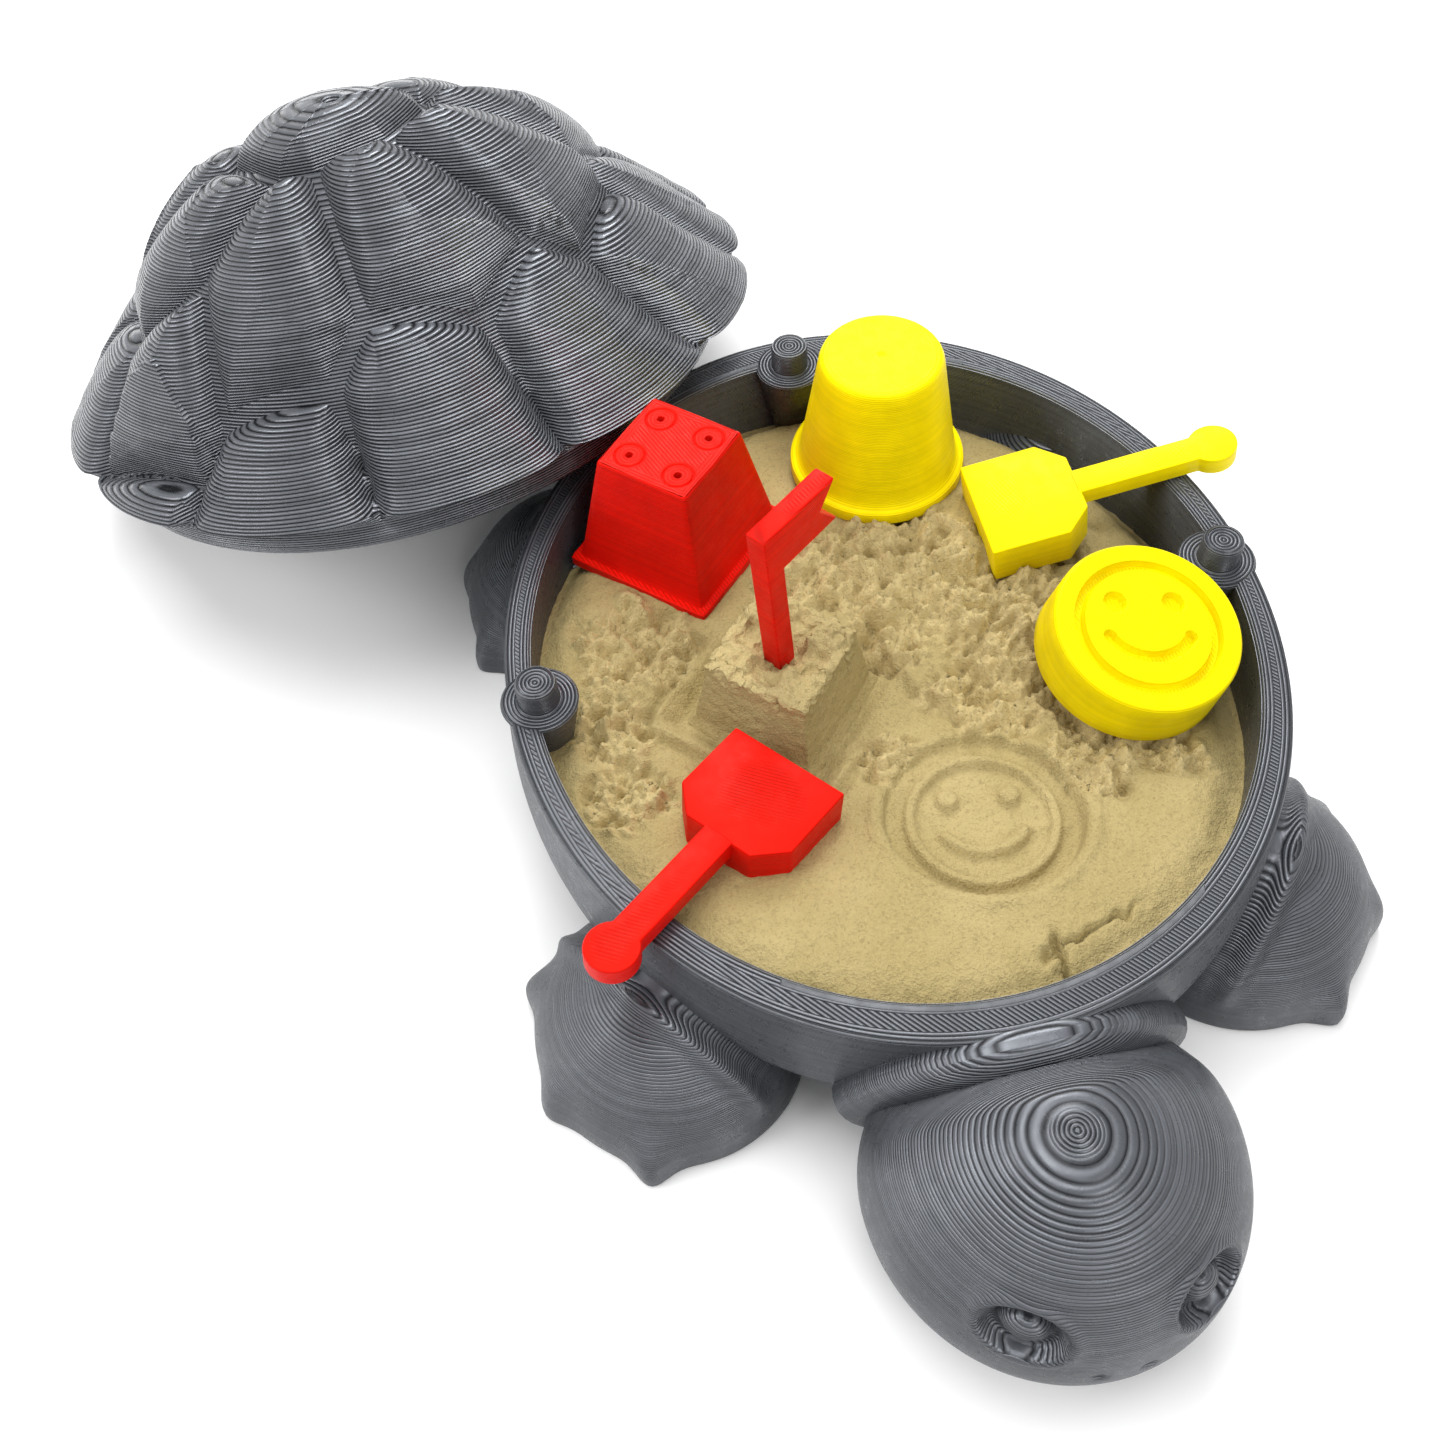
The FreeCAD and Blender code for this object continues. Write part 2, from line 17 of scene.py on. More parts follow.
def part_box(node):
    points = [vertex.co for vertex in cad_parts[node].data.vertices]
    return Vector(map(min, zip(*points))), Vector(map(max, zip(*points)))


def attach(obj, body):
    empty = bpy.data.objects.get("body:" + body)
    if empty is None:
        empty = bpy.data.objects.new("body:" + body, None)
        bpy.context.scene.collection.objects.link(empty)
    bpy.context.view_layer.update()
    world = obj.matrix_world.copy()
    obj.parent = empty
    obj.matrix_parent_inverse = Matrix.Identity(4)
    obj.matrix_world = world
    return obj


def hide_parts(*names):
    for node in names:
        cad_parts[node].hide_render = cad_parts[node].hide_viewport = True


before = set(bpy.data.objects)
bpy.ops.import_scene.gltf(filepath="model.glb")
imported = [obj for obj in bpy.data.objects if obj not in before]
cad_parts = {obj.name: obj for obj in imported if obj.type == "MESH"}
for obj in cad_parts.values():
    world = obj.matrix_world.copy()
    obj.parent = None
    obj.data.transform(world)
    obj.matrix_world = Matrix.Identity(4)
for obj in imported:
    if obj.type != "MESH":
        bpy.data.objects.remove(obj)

MM = 0.001
MARKED = 0.001  # an edge distance nearer to 0 than this marks no top
LOG = logging.getLogger("turtle_sandbox")
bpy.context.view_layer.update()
Place = Callable[[int, float], Vector]
Pairs = tuple[tuple[float, float], ...]
Mesh, Vert = bmesh.types.BMesh, bmesh.types.BMVert
Edge, Face = bmesh.types.BMEdge, bmesh.types.BMFace
Material, Socket = bpy.types.Material, bpy.types.NodeSocket


class Body(Enum):
    """Moving bodies of the sandbox."""

    BASE = "root"
    LID = "lid"
    MOULD = "mould"
    BUCKET = "pail"
    STAMP = "stamp"
    RED_SHOVEL = "red_scoop"
    YELLOW_SHOVEL = "yellow_scoop"
    FLAG = "pennant"


# ---------------------------------------------------------------- small sums
def smooth(low: float, high: float, value: float) -> float:
    """Soft step from 0 at low to 1 at high; low may be the larger."""
    share = min(1.0, max(0.0, (value - low) / (high - low)))
    return share * share * (3 - 2 * share)


def hump(distance: float, width: float) -> float:
    """Bell-shaped bump, 1 at distance 0."""
    return math.exp(-(distance / width) ** 2)


def curve_through(points: Sequence[tuple[float, float]], value: float) -> float:
    """Smooth curve through (place, height) points, read at a value.

    Args:
        points: Places in rising order with their heights.
        value: Where to read the curve.

    Returns:
        The height there.
    """
    last = len(points) - 1
    step = max(i for i in range(last) if i == 0 or points[i][0] <= value)
    (x1, y1), (x2, y2) = points[step], points[step + 1]
    x0, y0 = points[step - 1] if step else (x1, y1)
    x3, y3 = points[step + 2] if step + 2 <= last else (x2, y2)
    slope1 = (y2 - y0) / (x2 - x0)
    slope2 = (y3 - y1) / (x3 - x1)
    span = x2 - x1
    t = min(1.0, max(0.0, (value - x1) / span))
    return (y1 * (1 + 2 * t) * (1 - t) ** 2 + span * slope1 * t * (1 - t) ** 2
            + y2 * t * t * (3 - 2 * t) + span * slope2 * t * t * (t - 1))


def ellipse_reach(x: float, y: float, half_x: float, half_y: float) -> float:
    """Share of the way from the middle of an ellipse to its edge, 1 on the edge."""
    return math.hypot(x / half_x, y / half_y)


def ellipse_clearance(x: float, y: float, half_x: float, half_y: float) -> float:
    """Distance from a point to an ellipse's edge, positive inside it.

    Args:
        x: Place across the ellipse.
        y: Place along it.
        half_x: Its half width.
        half_y: Its half length.

    Returns:
        The distance.
    """
    share = max(1e-6, ellipse_reach(x, y, half_x, half_y))
    pull = math.hypot(x / half_x ** 2, y / half_y ** 2) / share
    return (1 - share) / max(1e-6, pull)


# ---------------------------------------------------------------- mesh helpers
def only(items: Iterable[object], kind: type) -> list:
    """The items of one kind."""
    return [item for item in items if isinstance(item, kind)]


def push(moves: Iterable[tuple[Vert, Vector]]) -> None:
    """Moves each vertex its own way."""
    for vert, way in moves:
        vert.co += way


def pull_face(mesh: Mesh, face: Face, way: tuple[float, float, float]) -> list:
    """Extrudes a face.

    Args:
        mesh: The mesh that it belongs to.
        face: The face.
        way: How far its copy goes.

    Returns:
        All that was made.
    """
    made = bmesh.ops.extrude_face_region(mesh, geom=[face])["geom"]
    bmesh.ops.translate(mesh, vec=way, verts=only(made, Vert))
    return made


def tilted(axis: Vector, spin: float) -> Matrix:
    """Spin about +Z in degrees, then the turn of +Z to an axis."""
    turn = Vector((0, 0, 1)).rotation_difference(axis.normalized()).to_matrix()
    return turn @ Matrix.Rotation(math.radians(spin), 3, "Z")


def add_object(name: str, data: bpy.types.ID) -> bpy.types.Object:
    """Puts a new object with its data into the scene.

    Args:
        name: Name of the object.
        data: Its mesh, camera or light.

    Returns:
        The object.
    """
    thing = bpy.data.objects.new(name, data)
    bpy.context.scene.collection.objects.link(thing)
    return thing


def loft_rings(mesh: Mesh, steps: int, spokes: int, place: Place,
               close_first: bool = True, close_last: bool = True) -> list[Vert]:
    """Extrudes a ring of points step by step, each set where place says.

    Args:
        mesh: The mesh to add to.
        steps: How many rings.
        spokes: Points in each ring.
        place: Gives a point from the ring's number and the angle round it.
        close_first: Whether the first ring is drawn to its middle.
        close_last: Whether the last ring is drawn to its middle.

    Returns:
        Every vertex that was made.
    """
    spoke = mesh.verts.layers.int.get("spoke") or mesh.verts.layers.int.new("spoke")
    ring = bmesh.ops.create_circle(mesh, segments=spokes, radius=1.0)["verts"]
    made = list(ring)
    for number, vert in enumerate(ring):
        vert[spoke] = number
    rings = [ring]
    edges = list({edge for vert in ring for edge in vert.link_edges})
    for step in range(steps):
        if step:
            geometry = bmesh.ops.extrude_edge_only(mesh, edges=edges)["geom"]
            ring, edges = only(geometry, Vert), only(geometry, Edge)
            made += ring
            rings.append(ring)
        for vert in ring:
            vert.co = place(step, 2 * math.pi * vert[spoke] / spokes)
    for wanted, end in ((close_first, rings[0]), (close_last, rings[-1])):
        if wanted:
            middle = sum((vert.co for vert in end), Vector()) / len(end)
            bmesh.ops.pointmerge(mesh, verts=end, merge_co=middle)
    return [vert for vert in made if vert.is_valid]


def cut_at_floor(mesh: Mesh) -> None:
    """Removes what lies below the floor and closes the cut.

    Args:
        mesh: The mesh.
    """
    bmesh.ops.bisect_plane(mesh, geom=mesh.verts[:] + mesh.edges[:] + mesh.faces[:], dist=1e-5,
                           plane_co=(0, 0, 0), plane_no=(0, 0, 1), clear_inner=True)
    bmesh.ops.holes_fill(mesh, edges=[edge for edge in mesh.edges if edge.is_boundary], sides=0)


def soften_edges(mesh: Mesh, width: float, angle: float = 30.0,
                 among: Optional[Iterable[Edge]] = None) -> None:
    """Rounds sharp edges.

    Args:
        mesh: The mesh.
        width: How far the rounding reaches.
        angle: Edges that turn more than this many degrees are rounded.
        among: The edges to choose from, or None for all.
    """
    sharp = [edge for edge in (mesh.edges if among is None else among)
             if edge.is_manifold and edge.calc_face_angle(0.0) > math.radians(angle)]
    bmesh.ops.bevel(mesh, geom=sharp, offset=width, offset_type="OFFSET", affect="EDGES",
                    segments=3, profile=0.5, material=-1, clamp_overlap=True)


@dataclass
class Piece:
    """A finished piece: its mesh is brought to metres and dressed, then it joins a body.

    Attributes:
        name: Name of the piece.
        body: Body that it rides on.
        nodes: CAD nodes that it stands for.
        slot: Material slot name; not used.
    """

    name: str
    body: Body
    nodes: tuple[str, ...]
    slot: str

    def finish(self, mesh: Mesh, material: Material,
               pose: Optional[Matrix] = None, smooth_below: float = 40.0) -> bpy.types.Object:
        """Turns a mesh in millimetres into the piece's object.

        Args:
            mesh: The shape, freed afterwards.
            material: Its finish.
            pose: Where it stands, in millimetres, if it was made lying true.
            smooth_below: Edges that turn less than this many degrees are shaded smooth.

        Returns:
            The object.
        """
        bmesh.ops.remove_doubles(mesh, verts=mesh.verts, dist=1e-4)
        bmesh.ops.recalc_face_normals(mesh, faces=mesh.faces)
        if pose is not None:
            bmesh.ops.transform(mesh, matrix=pose, verts=mesh.verts)
        bmesh.ops.scale(mesh, vec=(MM, MM, MM), verts=mesh.verts)
        for face in mesh.faces:
            face.smooth = True
        limit = math.radians(smooth_below)
        for edge in mesh.edges:
            edge.smooth = edge.is_manifold and edge.calc_face_angle(0.0) < limit
        data = bpy.data.meshes.new(self.name)
        mesh.to_mesh(data)
        mesh.free()
        data.materials.append(material)
        thing = add_object(self.name, data)
        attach(thing, self.body.value)
        if self.nodes:
            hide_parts(*self.nodes)
        LOG.info("%s: %d faces", self.name, len(data.polygons))
        return thing


# ---------------------------------------------------------------- finishes
class Bench:
    """A material's node tree with short ways to add and join nodes."""

    def __init__(self, name: str) -> None:
        """Starts an empty tree with its output and shader.

        Args:
            name: Name of the material.
        """
        self.material = bpy.data.materials.new(name)
        self.material.use_nodes = True
        self.tree = self.material.node_tree
        self.tree.nodes.clear()
        self.shader = self.node("ShaderNodeBsdfPrincipled")
        output = self.node("ShaderNodeOutputMaterial")
        self.tree.links.new(self.shader.outputs["BSDF"], output.inputs["Surface"])

    def node(self, kind: str, **settings: object) -> bpy.types.Node:
        """Adds a node and sets its properties.

        Args:
            kind: Its type in Blender.
            settings: Properties to set on it.

        Returns:
            The node.
        """
        made = self.tree.nodes.new(kind)
        for key, value in settings.items():
            setattr(made, key, value)
        return made

    def join(self, socket: Socket, value: object) -> None:
        """Joins an input to another node's output, or sets it.

        Args:
            socket: The input.
            value: An output, a number or a colour.
        """
        if isinstance(value, Socket):
            self.tree.links.new(value, socket)
        else:
            socket.default_value = value

    def feed(self, node: bpy.types.Node, **inputs: object) -> bpy.types.Node:
        """Sets or joins a node's inputs, named with _ for a space.

        Args:
            node: The node.
            inputs: Outputs, numbers or colours for its inputs.

        Returns:
            The same node.
        """
        for key, value in inputs.items():
            self.join(node.inputs[key.replace("_", " ")], value)
        return node

    def sum(self, operation: str, *values: object) -> Socket:
        """One step of arithmetic on numbers or sockets.

        Args:
            operation: Its name in Blender.
            values: What it works on.

        Returns:
            The result.
        """
        made = self.node("ShaderNodeMath", operation=operation)
        for socket, value in zip(made.inputs, values):
            self.join(socket, value)
        return made.outputs[0]

    def ramp(self, value: Socket, low: float, high: float,
             out_low: float = 0.0, out_high: float = 1.0) -> Socket:
        """Soft change from one number to another as a value goes from low to high.

        Args:
            value: What drives it.
            low: Value where the change starts.
            high: Value where it ends.
            out_low: Result up to the start.
            out_high: Result from the end on.

        Returns:
            The result.
        """
        made = self.node("ShaderNodeMapRange", interpolation_type="SMOOTHSTEP")
        self.feed(made, Value=value, From_Min=low, From_Max=high, To_Min=out_low, To_Max=out_high)
        return made.outputs["Result"]

    def blend(self, share: object, first: object, second: object) -> Socket:
        """Mixes two colours.

        Args:
            share: Share of the second, from 0 to 1.
            first: What share 0 gives.
            second: What share 1 gives.

        Returns:
            The mixed colour.
        """
        made = self.node("ShaderNodeMix", data_type="RGBA")
        for index, value in ((0, share), (6, first), (7, second)):
            self.join(made.inputs[index], (*value, 1.0) if isinstance(value, tuple) else value)
        return made.outputs[2]

    def mix(self, share: Socket, first: Socket, second: Socket) -> Socket:
        """Mixes two numbers.

        Args:
            share: Share of the second, from 0 to 1.
            first: What share 0 gives.
            second: What share 1 gives.

        Returns:
            The mixed number.
        """
        made = self.node("ShaderNodeMix", data_type="FLOAT")
        for index, value in ((0, share), (2, first), (3, second)):
            self.join(made.inputs[index], value)
        return made.outputs[0]

    def grain(self, vector: Socket, size: float, detail: float = 2.0,
              roughness: float = 0.5) -> Socket:
        """Cloudy noise whose patches are about a size in millimetres.

        Args:
            vector: Coordinates.
            size: Size of a patch.
            detail: How many finer layers are added.
            roughness: Strength of the finer layers.

        Returns:
            The noise, about 0 to 1.
        """
        made = self.node("ShaderNodeTexNoise")
        self.feed(made, Vector=vector, Scale=1 / (size * MM), Detail=detail, Roughness=roughness)
        return made.outputs["Fac"]

    def bump(self, height: Socket, depth: float,
             below: Optional[Socket] = None) -> Socket:
        """Surface relief of a depth in millimetres.

        Args:
            height: What stands up, from 0 to 1.
            depth: How far it stands up.
            below: Relief that this one is laid on.

        Returns:
            The bent normal.
        """
        made = self.node("ShaderNodeBump")
        self.feed(made, Height=height, Distance=depth * MM, Strength=1.0)
        if below is not None:
            self.feed(made, Normal=below)
        return made.outputs["Normal"]


@dataclass(frozen=True)
class LayeredPrint:
    """Plastic laid down in thin flat layers, with visible passes on its level tops.

    The float attribute from_edge says how a level top was filled. Where it is positive it is
    the distance from the top's edge, in millimetres: a few passes follow the edge and straight
    ones fill the rest. Where it is negative there are rings only.

    Attributes:
        name: Name of the material.
        colour: Colour of the bead faces.
        groove: Painted shade: a darker colour laid in the grooves between the beads for the shade
            that falls there.
        layer: Layer height.
        bead: Width of one pass on a level top.
        edge_passes: How many passes follow the edge of a level top.
        relief: Depth of the grooves between layers.
        roughness: Mean roughness.
        metallic: Share of silk sheen.
        streaks: How much one layer differs from the next in brightness.
        gloss: Strength of the clear highlight.
        highlight: Tint of the clear highlight.
        top_angle: Direction of the passes on level tops, in degrees.
        marked_tops: Whether the passes show only where an edge distance is given.
        turn: Turn of the printed part from lying true, as an XYZ Euler in radians.
    """

    name: str
    colour: tuple[float, float, float]
    groove: tuple[float, float, float]
    layer: float = 0.24
    bead: float = 0.44
    edge_passes: int = 3
    relief: float = 0.06
    roughness: float = 0.4
    metallic: float = 0.0
    streaks: float = 0.12
    gloss: float = 0.5
    highlight: tuple[float, float, float] = (1.0, 1.0, 1.0)
    top_angle: float = 45.0
    marked_tops: bool = False
    turn: Optional[tuple[float, float, float]] = None

    def make(self) -> Material:
        """Builds the material.

        Returns:
            The material.
        """
        bench = Bench(self.name)
        coords = bench.node("ShaderNodeTexCoord")
        place, facing = coords.outputs["Object"], coords.outputs["Normal"]
        if self.turn is not None:
            place = self._true(bench, place)
            facing = self._true(bench, facing)
        spot = bench.feed(bench.node("ShaderNodeSeparateXYZ"), Vector=place).outputs
        normal = bench.feed(bench.node("ShaderNodeSeparateXYZ"), Vector=facing).outputs
        wander = bench.sum("MULTIPLY", bench.grain(place, 9.0), 0.05 * MM)
        height = bench.sum("ADD", spot["Z"], wander)
        turns = bench.sum("DIVIDE", height, self.layer * MM)
        layers = self._beads(bench, turns)
        angle = math.radians(self.top_angle)
        across = bench.sum("ADD", bench.sum("MULTIPLY", spot["X"], math.cos(angle)),
                           bench.sum("MULTIPLY", spot["Y"], math.sin(angle)))
        edge = bench.node("ShaderNodeAttribute", attribute_name="from_edge").outputs["Fac"]
        hatch = self._beads(bench, bench.sum("DIVIDE", across, self.bead * MM))
        walls = self._beads(bench, bench.sum("DIVIDE", edge, self.bead))
        near_edge = bench.sum("MULTIPLY", bench.sum("GREATER_THAN", edge, MARKED),
                              bench.sum("LESS_THAN", edge, self.edge_passes * self.bead))
        near_edge = bench.sum("MAXIMUM", near_edge, bench.sum("LESS_THAN", edge, -MARKED))
        tops = bench.mix(near_edge, hatch, walls)
        level = bench.ramp(bench.sum("ABSOLUTE", normal["Z"]), 0.992, 0.998)
        if self.marked_tops:
            marked = bench.sum("GREATER_THAN", bench.sum("ABSOLUTE", edge), MARKED)
            level = bench.sum("MULTIPLY", level, marked)
        beads = bench.mix(level, layers, tops)
        pick = bench.node("ShaderNodeTexNoise", noise_dimensions="1D")
        bench.feed(pick, W=bench.sum("FLOOR", turns), Scale=0.37, Detail=2.0)
        streak = bench.ramp(pick.outputs["Fac"], 0.3, 0.7, 1 - self.streaks, 1 + self.streaks)
        dull = bench.ramp(bench.grain(place, 5.0, 3.0), 0.3, 0.7, 0.93, 1.07)
        # Painted shade: toward the grooves between beads the colour goes to the darker groove
        # colour.
        colour_with_painted_groove_shade = bench.blend(bench.ramp(beads, 0.1, 0.85), self.groove, self.colour)
        shade = bench.node("ShaderNodeVectorMath", operation="SCALE")
        bench.join(shade.inputs[0], colour_with_painted_groove_shade)
        bench.feed(shade, Scale=bench.sum("MULTIPLY", streak, dull))
        rough = bench.ramp(bench.grain(place, 1.6, 3.0), 0.25, 0.75,
                           self.roughness - 0.06, self.roughness + 0.08)
        pores = bench.bump(bench.grain(place, 0.3, 2.0), 0.008)
        bench.shader.inputs["Specular IOR Level"].default_value = self.gloss
        bench.shader.inputs["Specular Tint"].default_value = (*self.highlight, 1.0)
        bench.feed(bench.shader, Base_Color=shade.outputs[0], Roughness=rough,
                   Metallic=self.metallic, Normal=bench.bump(beads, self.relief, pores))
        return bench.material

    def turned(self, name: str, pose: Matrix) -> "LayeredPrint":
        """The same finish on a part that doesn't lie as it was printed."""
        return replace(self, name=name, turn=tuple(pose.to_euler("XYZ")))

    def _true(self, bench: Bench, vector: Socket) -> Socket:
        """Turns a direction or place back to how the part was printed.

        Args:
            bench: The material's bench.
            vector: The direction or place.

        Returns:
            The turned one.
        """
        made = bench.node("ShaderNodeVectorRotate", rotation_type="EULER_XYZ", invert=True)
        bench.feed(made, Vector=vector, Rotation=self.turn)
        return made.outputs[0]

    @staticmethod
    def _beads(bench: Bench, turns: Socket) -> Socket:
        """Rounded ridges with sharp grooves at whole numbers of turns."""
        return bench.sum("ABSOLUTE", bench.sum("SINE", bench.sum("MULTIPLY", turns, math.pi)))


@dataclass(frozen=True)
class MouldedSand:
    """Fine sand that holds its shape, with a matt face and painted shade in its pits."""

    name: str = "moulded_sand"
    light: tuple[float, float, float] = (0.44, 0.35, 0.16)
    middle: tuple[float, float, float] = (0.38, 0.30, 0.128)
    # Colour of dark grains, also laid into the pits as painted shade.
    dark_grain_and_pit_shade: tuple[float, float, float] = (0.20, 0.145, 0.06)
    dry: tuple[float, float, float] = (0.56, 0.445, 0.21)

    def make(self) -> Material:
        """Builds the material.

        Returns:
            The material.
        """
        bench = Bench(self.name)
        place = bench.node("ShaderNodeTexCoord").outputs["Object"]
        cells = bench.node("ShaderNodeTexVoronoi")
        bench.feed(cells, Vector=place, Scale=1 / (0.24 * MM), Randomness=1.0)
        parts = bench.feed(bench.node("ShaderNodeSeparateColor"), Color=cells.outputs["Color"])
        speck = parts.outputs[0]
        clump = bench.grain(place, 1.1, 5.0, 0.7)
        patch = bench.grain(place, 11.0, 3.0, 0.55)
        crumb = bench.node("ShaderNodeAttribute", attribute_name="crumble").outputs["Fac"]
        base = bench.blend(bench.ramp(patch, 0.35, 0.7), self.middle, self.light)
        base = bench.blend(bench.ramp(speck, 0.0, 0.3, 0.3, 0.0), base, self.dark_grain_and_pit_shade)
        base = bench.blend(bench.ramp(speck, 0.75, 1.0, 0.0, 0.5), base, self.light)
        base = bench.blend(bench.ramp(crumb, 0.3, 1.0, 0.0, 1.0), base, self.dry)
        # Painted shade: where the clump noise is low in crumbled sand the colour goes toward the
        # dark colour, for the shade in the pits between clods.
        pits = bench.sum("MULTIPLY", bench.ramp(clump, 0.42, 0.3),
                         bench.ramp(crumb, 0.0, 1.0, 0.4, 0.55))
        base = bench.blend(pits, base, self.dark_grain_and_pit_shade)
        swell = bench.sum("MULTIPLY", clump, bench.ramp(crumb, 0.0, 1.0, 0.6, 1.0))
        lumps = bench.bump(swell, 0.6)
        fine = bench.bump(cells.outputs["Distance"], 0.08, lumps)
        bench.shader.inputs["Specular IOR Level"].default_value = 0.25
        bench.shader.inputs["Roughness"].default_value = 0.92
        bench.feed(bench.shader, Base_Color=base, Normal=fine)
        return bench.material


@dataclass(frozen=True)
class PaleTable:
    """Plain pale surface under the toy."""

    name: str = "pale_table"
    colour: tuple[float, float, float] = (0.95, 0.95, 0.95)

    def make(self) -> Material:
        """Builds the material.

        Returns:
            The material.
        """
        bench = Bench(self.name)
        bench.feed(bench.shader, Base_Color=(*self.colour, 1.0), Roughness=0.85)
        bench.shader.inputs["Specular IOR Level"].default_value = 0.1
        return bench.material


# ---------------------------------------------------------------- turtle base
@dataclass
class TurtleBase:
    """The printed base: bowl with its pegs, neck, head and four flippers."""

    rim_half: tuple[float, float] = (45.1, 51.9)
    wall: tuple[float, float] = (3.1, 4.5)
    rim_height: float = 24.0
    floor: float = 2.4
    outside: Pairs = ((0.0, 8.6), (5.5, 1.9), (13.0, -0.8), (24.0, 0.0))
    inside: Pairs = ((2.4, 5.0), (8.0, 0.6), (24.0, 0.0))
    rim_round: float = 0.35
    wall_rows: int = 25
    inside_rows: int = 20
    boss_radius: float = 4.6
    peg_radius: float = 2.45
    peg_height: float = 3.4
    peg_inset: float = 0.55
    head_centre: Vector = field(default_factory=lambda: Vector((0.0, -61.5, 11.5)))
    head_half_width: float = 19.5
    head_front: float = 20.0
    head_back: float = 17.0
    head_top: float = 27.3
    crown: float = 3.4
    eye: Vector = field(default_factory=lambda: Vector((9.0, -76.9, 18.6)))
    eye_socket: tuple[float, float] = (4.1, 2.9)
    socket_depth: float = 1.75
    eye_ball: tuple[float, float] = (2.6, 1.8)
    ball_rise: float = 1.9
    nostril: tuple[float, float] = (2.5, 13.2)
    nostril_depth: float = 0.7
    neck_half_width: float = 19.0
    neck_top: float = 21.9
    neck_rows: Pairs = (
        (-40.0, 0.0), (-48.0, 0.0), (-49.0, 0.15), (-49.7, 0.9), (-50.4, 1.7), (-51.2, 2.25),
        (-52.1, 2.45), (-53.0, 2.45), (-53.8, 2.2), (-54.5, 1.65), (-55.0, 0.9), (-55.3, 0.0),
        (-55.6, -1.5), (-56.5, -4.0))
    flipper_centre: tuple[float, float] = (34.5, 33.8)
    flipper_reach: float = 15.4
    flipper_half_width: float = 16.0
    flipper_top: float = 16.0
    flipper_angle: float = 44.0
    cuff: tuple[float, float] = (3.6, 1.15)
    claws: Pairs = ((47.6, 26.2), (47.4, 38.9), (39.2, 47.8))
    claw_width: float = 2.3
    claw_length: float = 2.5

    @property
    def inner_half(self) -> tuple[float, float]:
        """Half sizes of the inner edge of the rim."""
        return self.rim_half[0] - self.wall[0], self.rim_half[1] - self.wall[1]

    def build(self, grey: Material) -> None:
        """Makes every piece of the base.

        Args:
            grey: Finish of the whole print.
        """
        self._bowl(grey)
        self._pegs(grey)
        self._neck(grey)
        self._head(grey)
        for side, side_name in ((1, "left"), (-1, "right")):
            for end, end_name in ((-1, "front"), (1, "rear")):
                self._flipper(grey, side, end, "flipper_%s_%s" % (end_name, side_name))

    def _bowl(self, grey: Material) -> None:
        """Swollen wall, rounded rim band and the inside down to the floor.

        Args:
            grey: Finish of the whole print.
        """
        top, lift = self.rim_height, self.rim_round
        heights = [(top - lift) * number / self.wall_rows for number in range(self.wall_rows + 1)]
        rows = [(0.0, height, curve_through(self.outside, height)) for height in heights]
        rows += [(0.0, top - lift * 0.3, lift * 0.3), (0.0, top, lift)]
        outer_rows = len(rows)
        rows += [(share, top, 0.0) for share in (0.02, 0.25, 0.5, 0.75, 0.98)]
        band_rows = len(rows)
        rows.append((0.0, top - lift, 0.0))
        for number in range(1, self.inside_rows + 1):
            height = top - lift - (top - lift - self.floor) * number / self.inside_rows
            rows.append((0.0, height, curve_through(self.inside, height)))
        rows += [(0.0, self.floor, inset) for inset in (12.0, 24.0, 36.0)]
        (rim_x, rim_y), (in_x, in_y) = self.rim_half, self.inner_half

        def place(step: int, angle: float) -> Vector:
            """Point of the bowl's wall.

            Args:
                step: Number of the ring.
                angle: Angle round the ring, in radians.

            Returns:
                The point.
            """
            share, height, inset = rows[step]
            if step < outer_rows:
                half_x, half_y = rim_x - inset, rim_y - inset
            elif step < band_rows:
                half_x = rim_x - lift + (in_x + lift - rim_x + lift) * share
                half_y = rim_y - lift + (in_y + lift - rim_y + lift) * share
            else:
                half_x, half_y = in_x - inset, in_y - inset
            return Vector((half_x * math.cos(angle), half_y * math.sin(angle), height))

        mesh = bmesh.new()
        edge = mesh.verts.layers.float.new("from_edge")
        for vert in loft_rings(mesh, len(rows), 300, place):
            x, y, z = vert.co
            if z > top - 0.01:
                outer = ellipse_clearance(x, y, rim_x, rim_y)
                inner = -ellipse_clearance(x, y, in_x, in_y)
                vert[edge] = max(0.01, min(outer, inner))
        Piece("turtle_bowl", Body.BASE, ("bowl",), "base_grey").finish(mesh, grey)

    def _pegs(self, grey: Material) -> None:
        """Columns up the inner wall, each with a round peg on top.

        Args:
            grey: Finish of the whole print.
        """
        in_x, in_y = self.inner_half
        spots = ((in_x - self.peg_inset, 0.0), (self.peg_inset - in_x, 0.0),
                 (0.0, in_y - self.peg_inset))
        top, boss, radius = self.rim_height, self.boss_radius, self.peg_radius
        tip = top + self.peg_height
        rows = ((boss, self.floor), (boss, top - 0.3), (boss - 0.3, top + 0.02),
                (radius + 0.25, top + 0.03), (radius, top + 0.3), (radius, tip - 0.45),
                (radius - 0.15, tip - 0.12), (radius - 0.5, tip), (radius - 0.62, tip - 0.12),
                (0.3, tip - 0.14))
        mesh = bmesh.new()
        edge = mesh.verts.layers.float.new("from_edge")
        for x, y in spots:
            def place(step: int, angle: float, x: float = x, y: float = y) -> Vector:
                """Point of a column or its peg."""
                wide, z = rows[step]
                return Vector((x + wide * math.cos(angle), y + wide * math.sin(angle), z))

            for vert in loft_rings(mesh, len(rows), 48, place):
                reach = math.hypot(vert.co.x - x, vert.co.y - y)
                if top - 0.1 < vert.co.z < top + 0.2:
                    vert[edge] = min(-0.01, reach - boss)
                elif vert.co.z > tip - 0.3:
                    vert[edge] = min(-0.01, reach - radius)
        Piece("rim_peg_posts", Body.BASE, ("rim_pegs",), "base_grey").finish(mesh, grey)

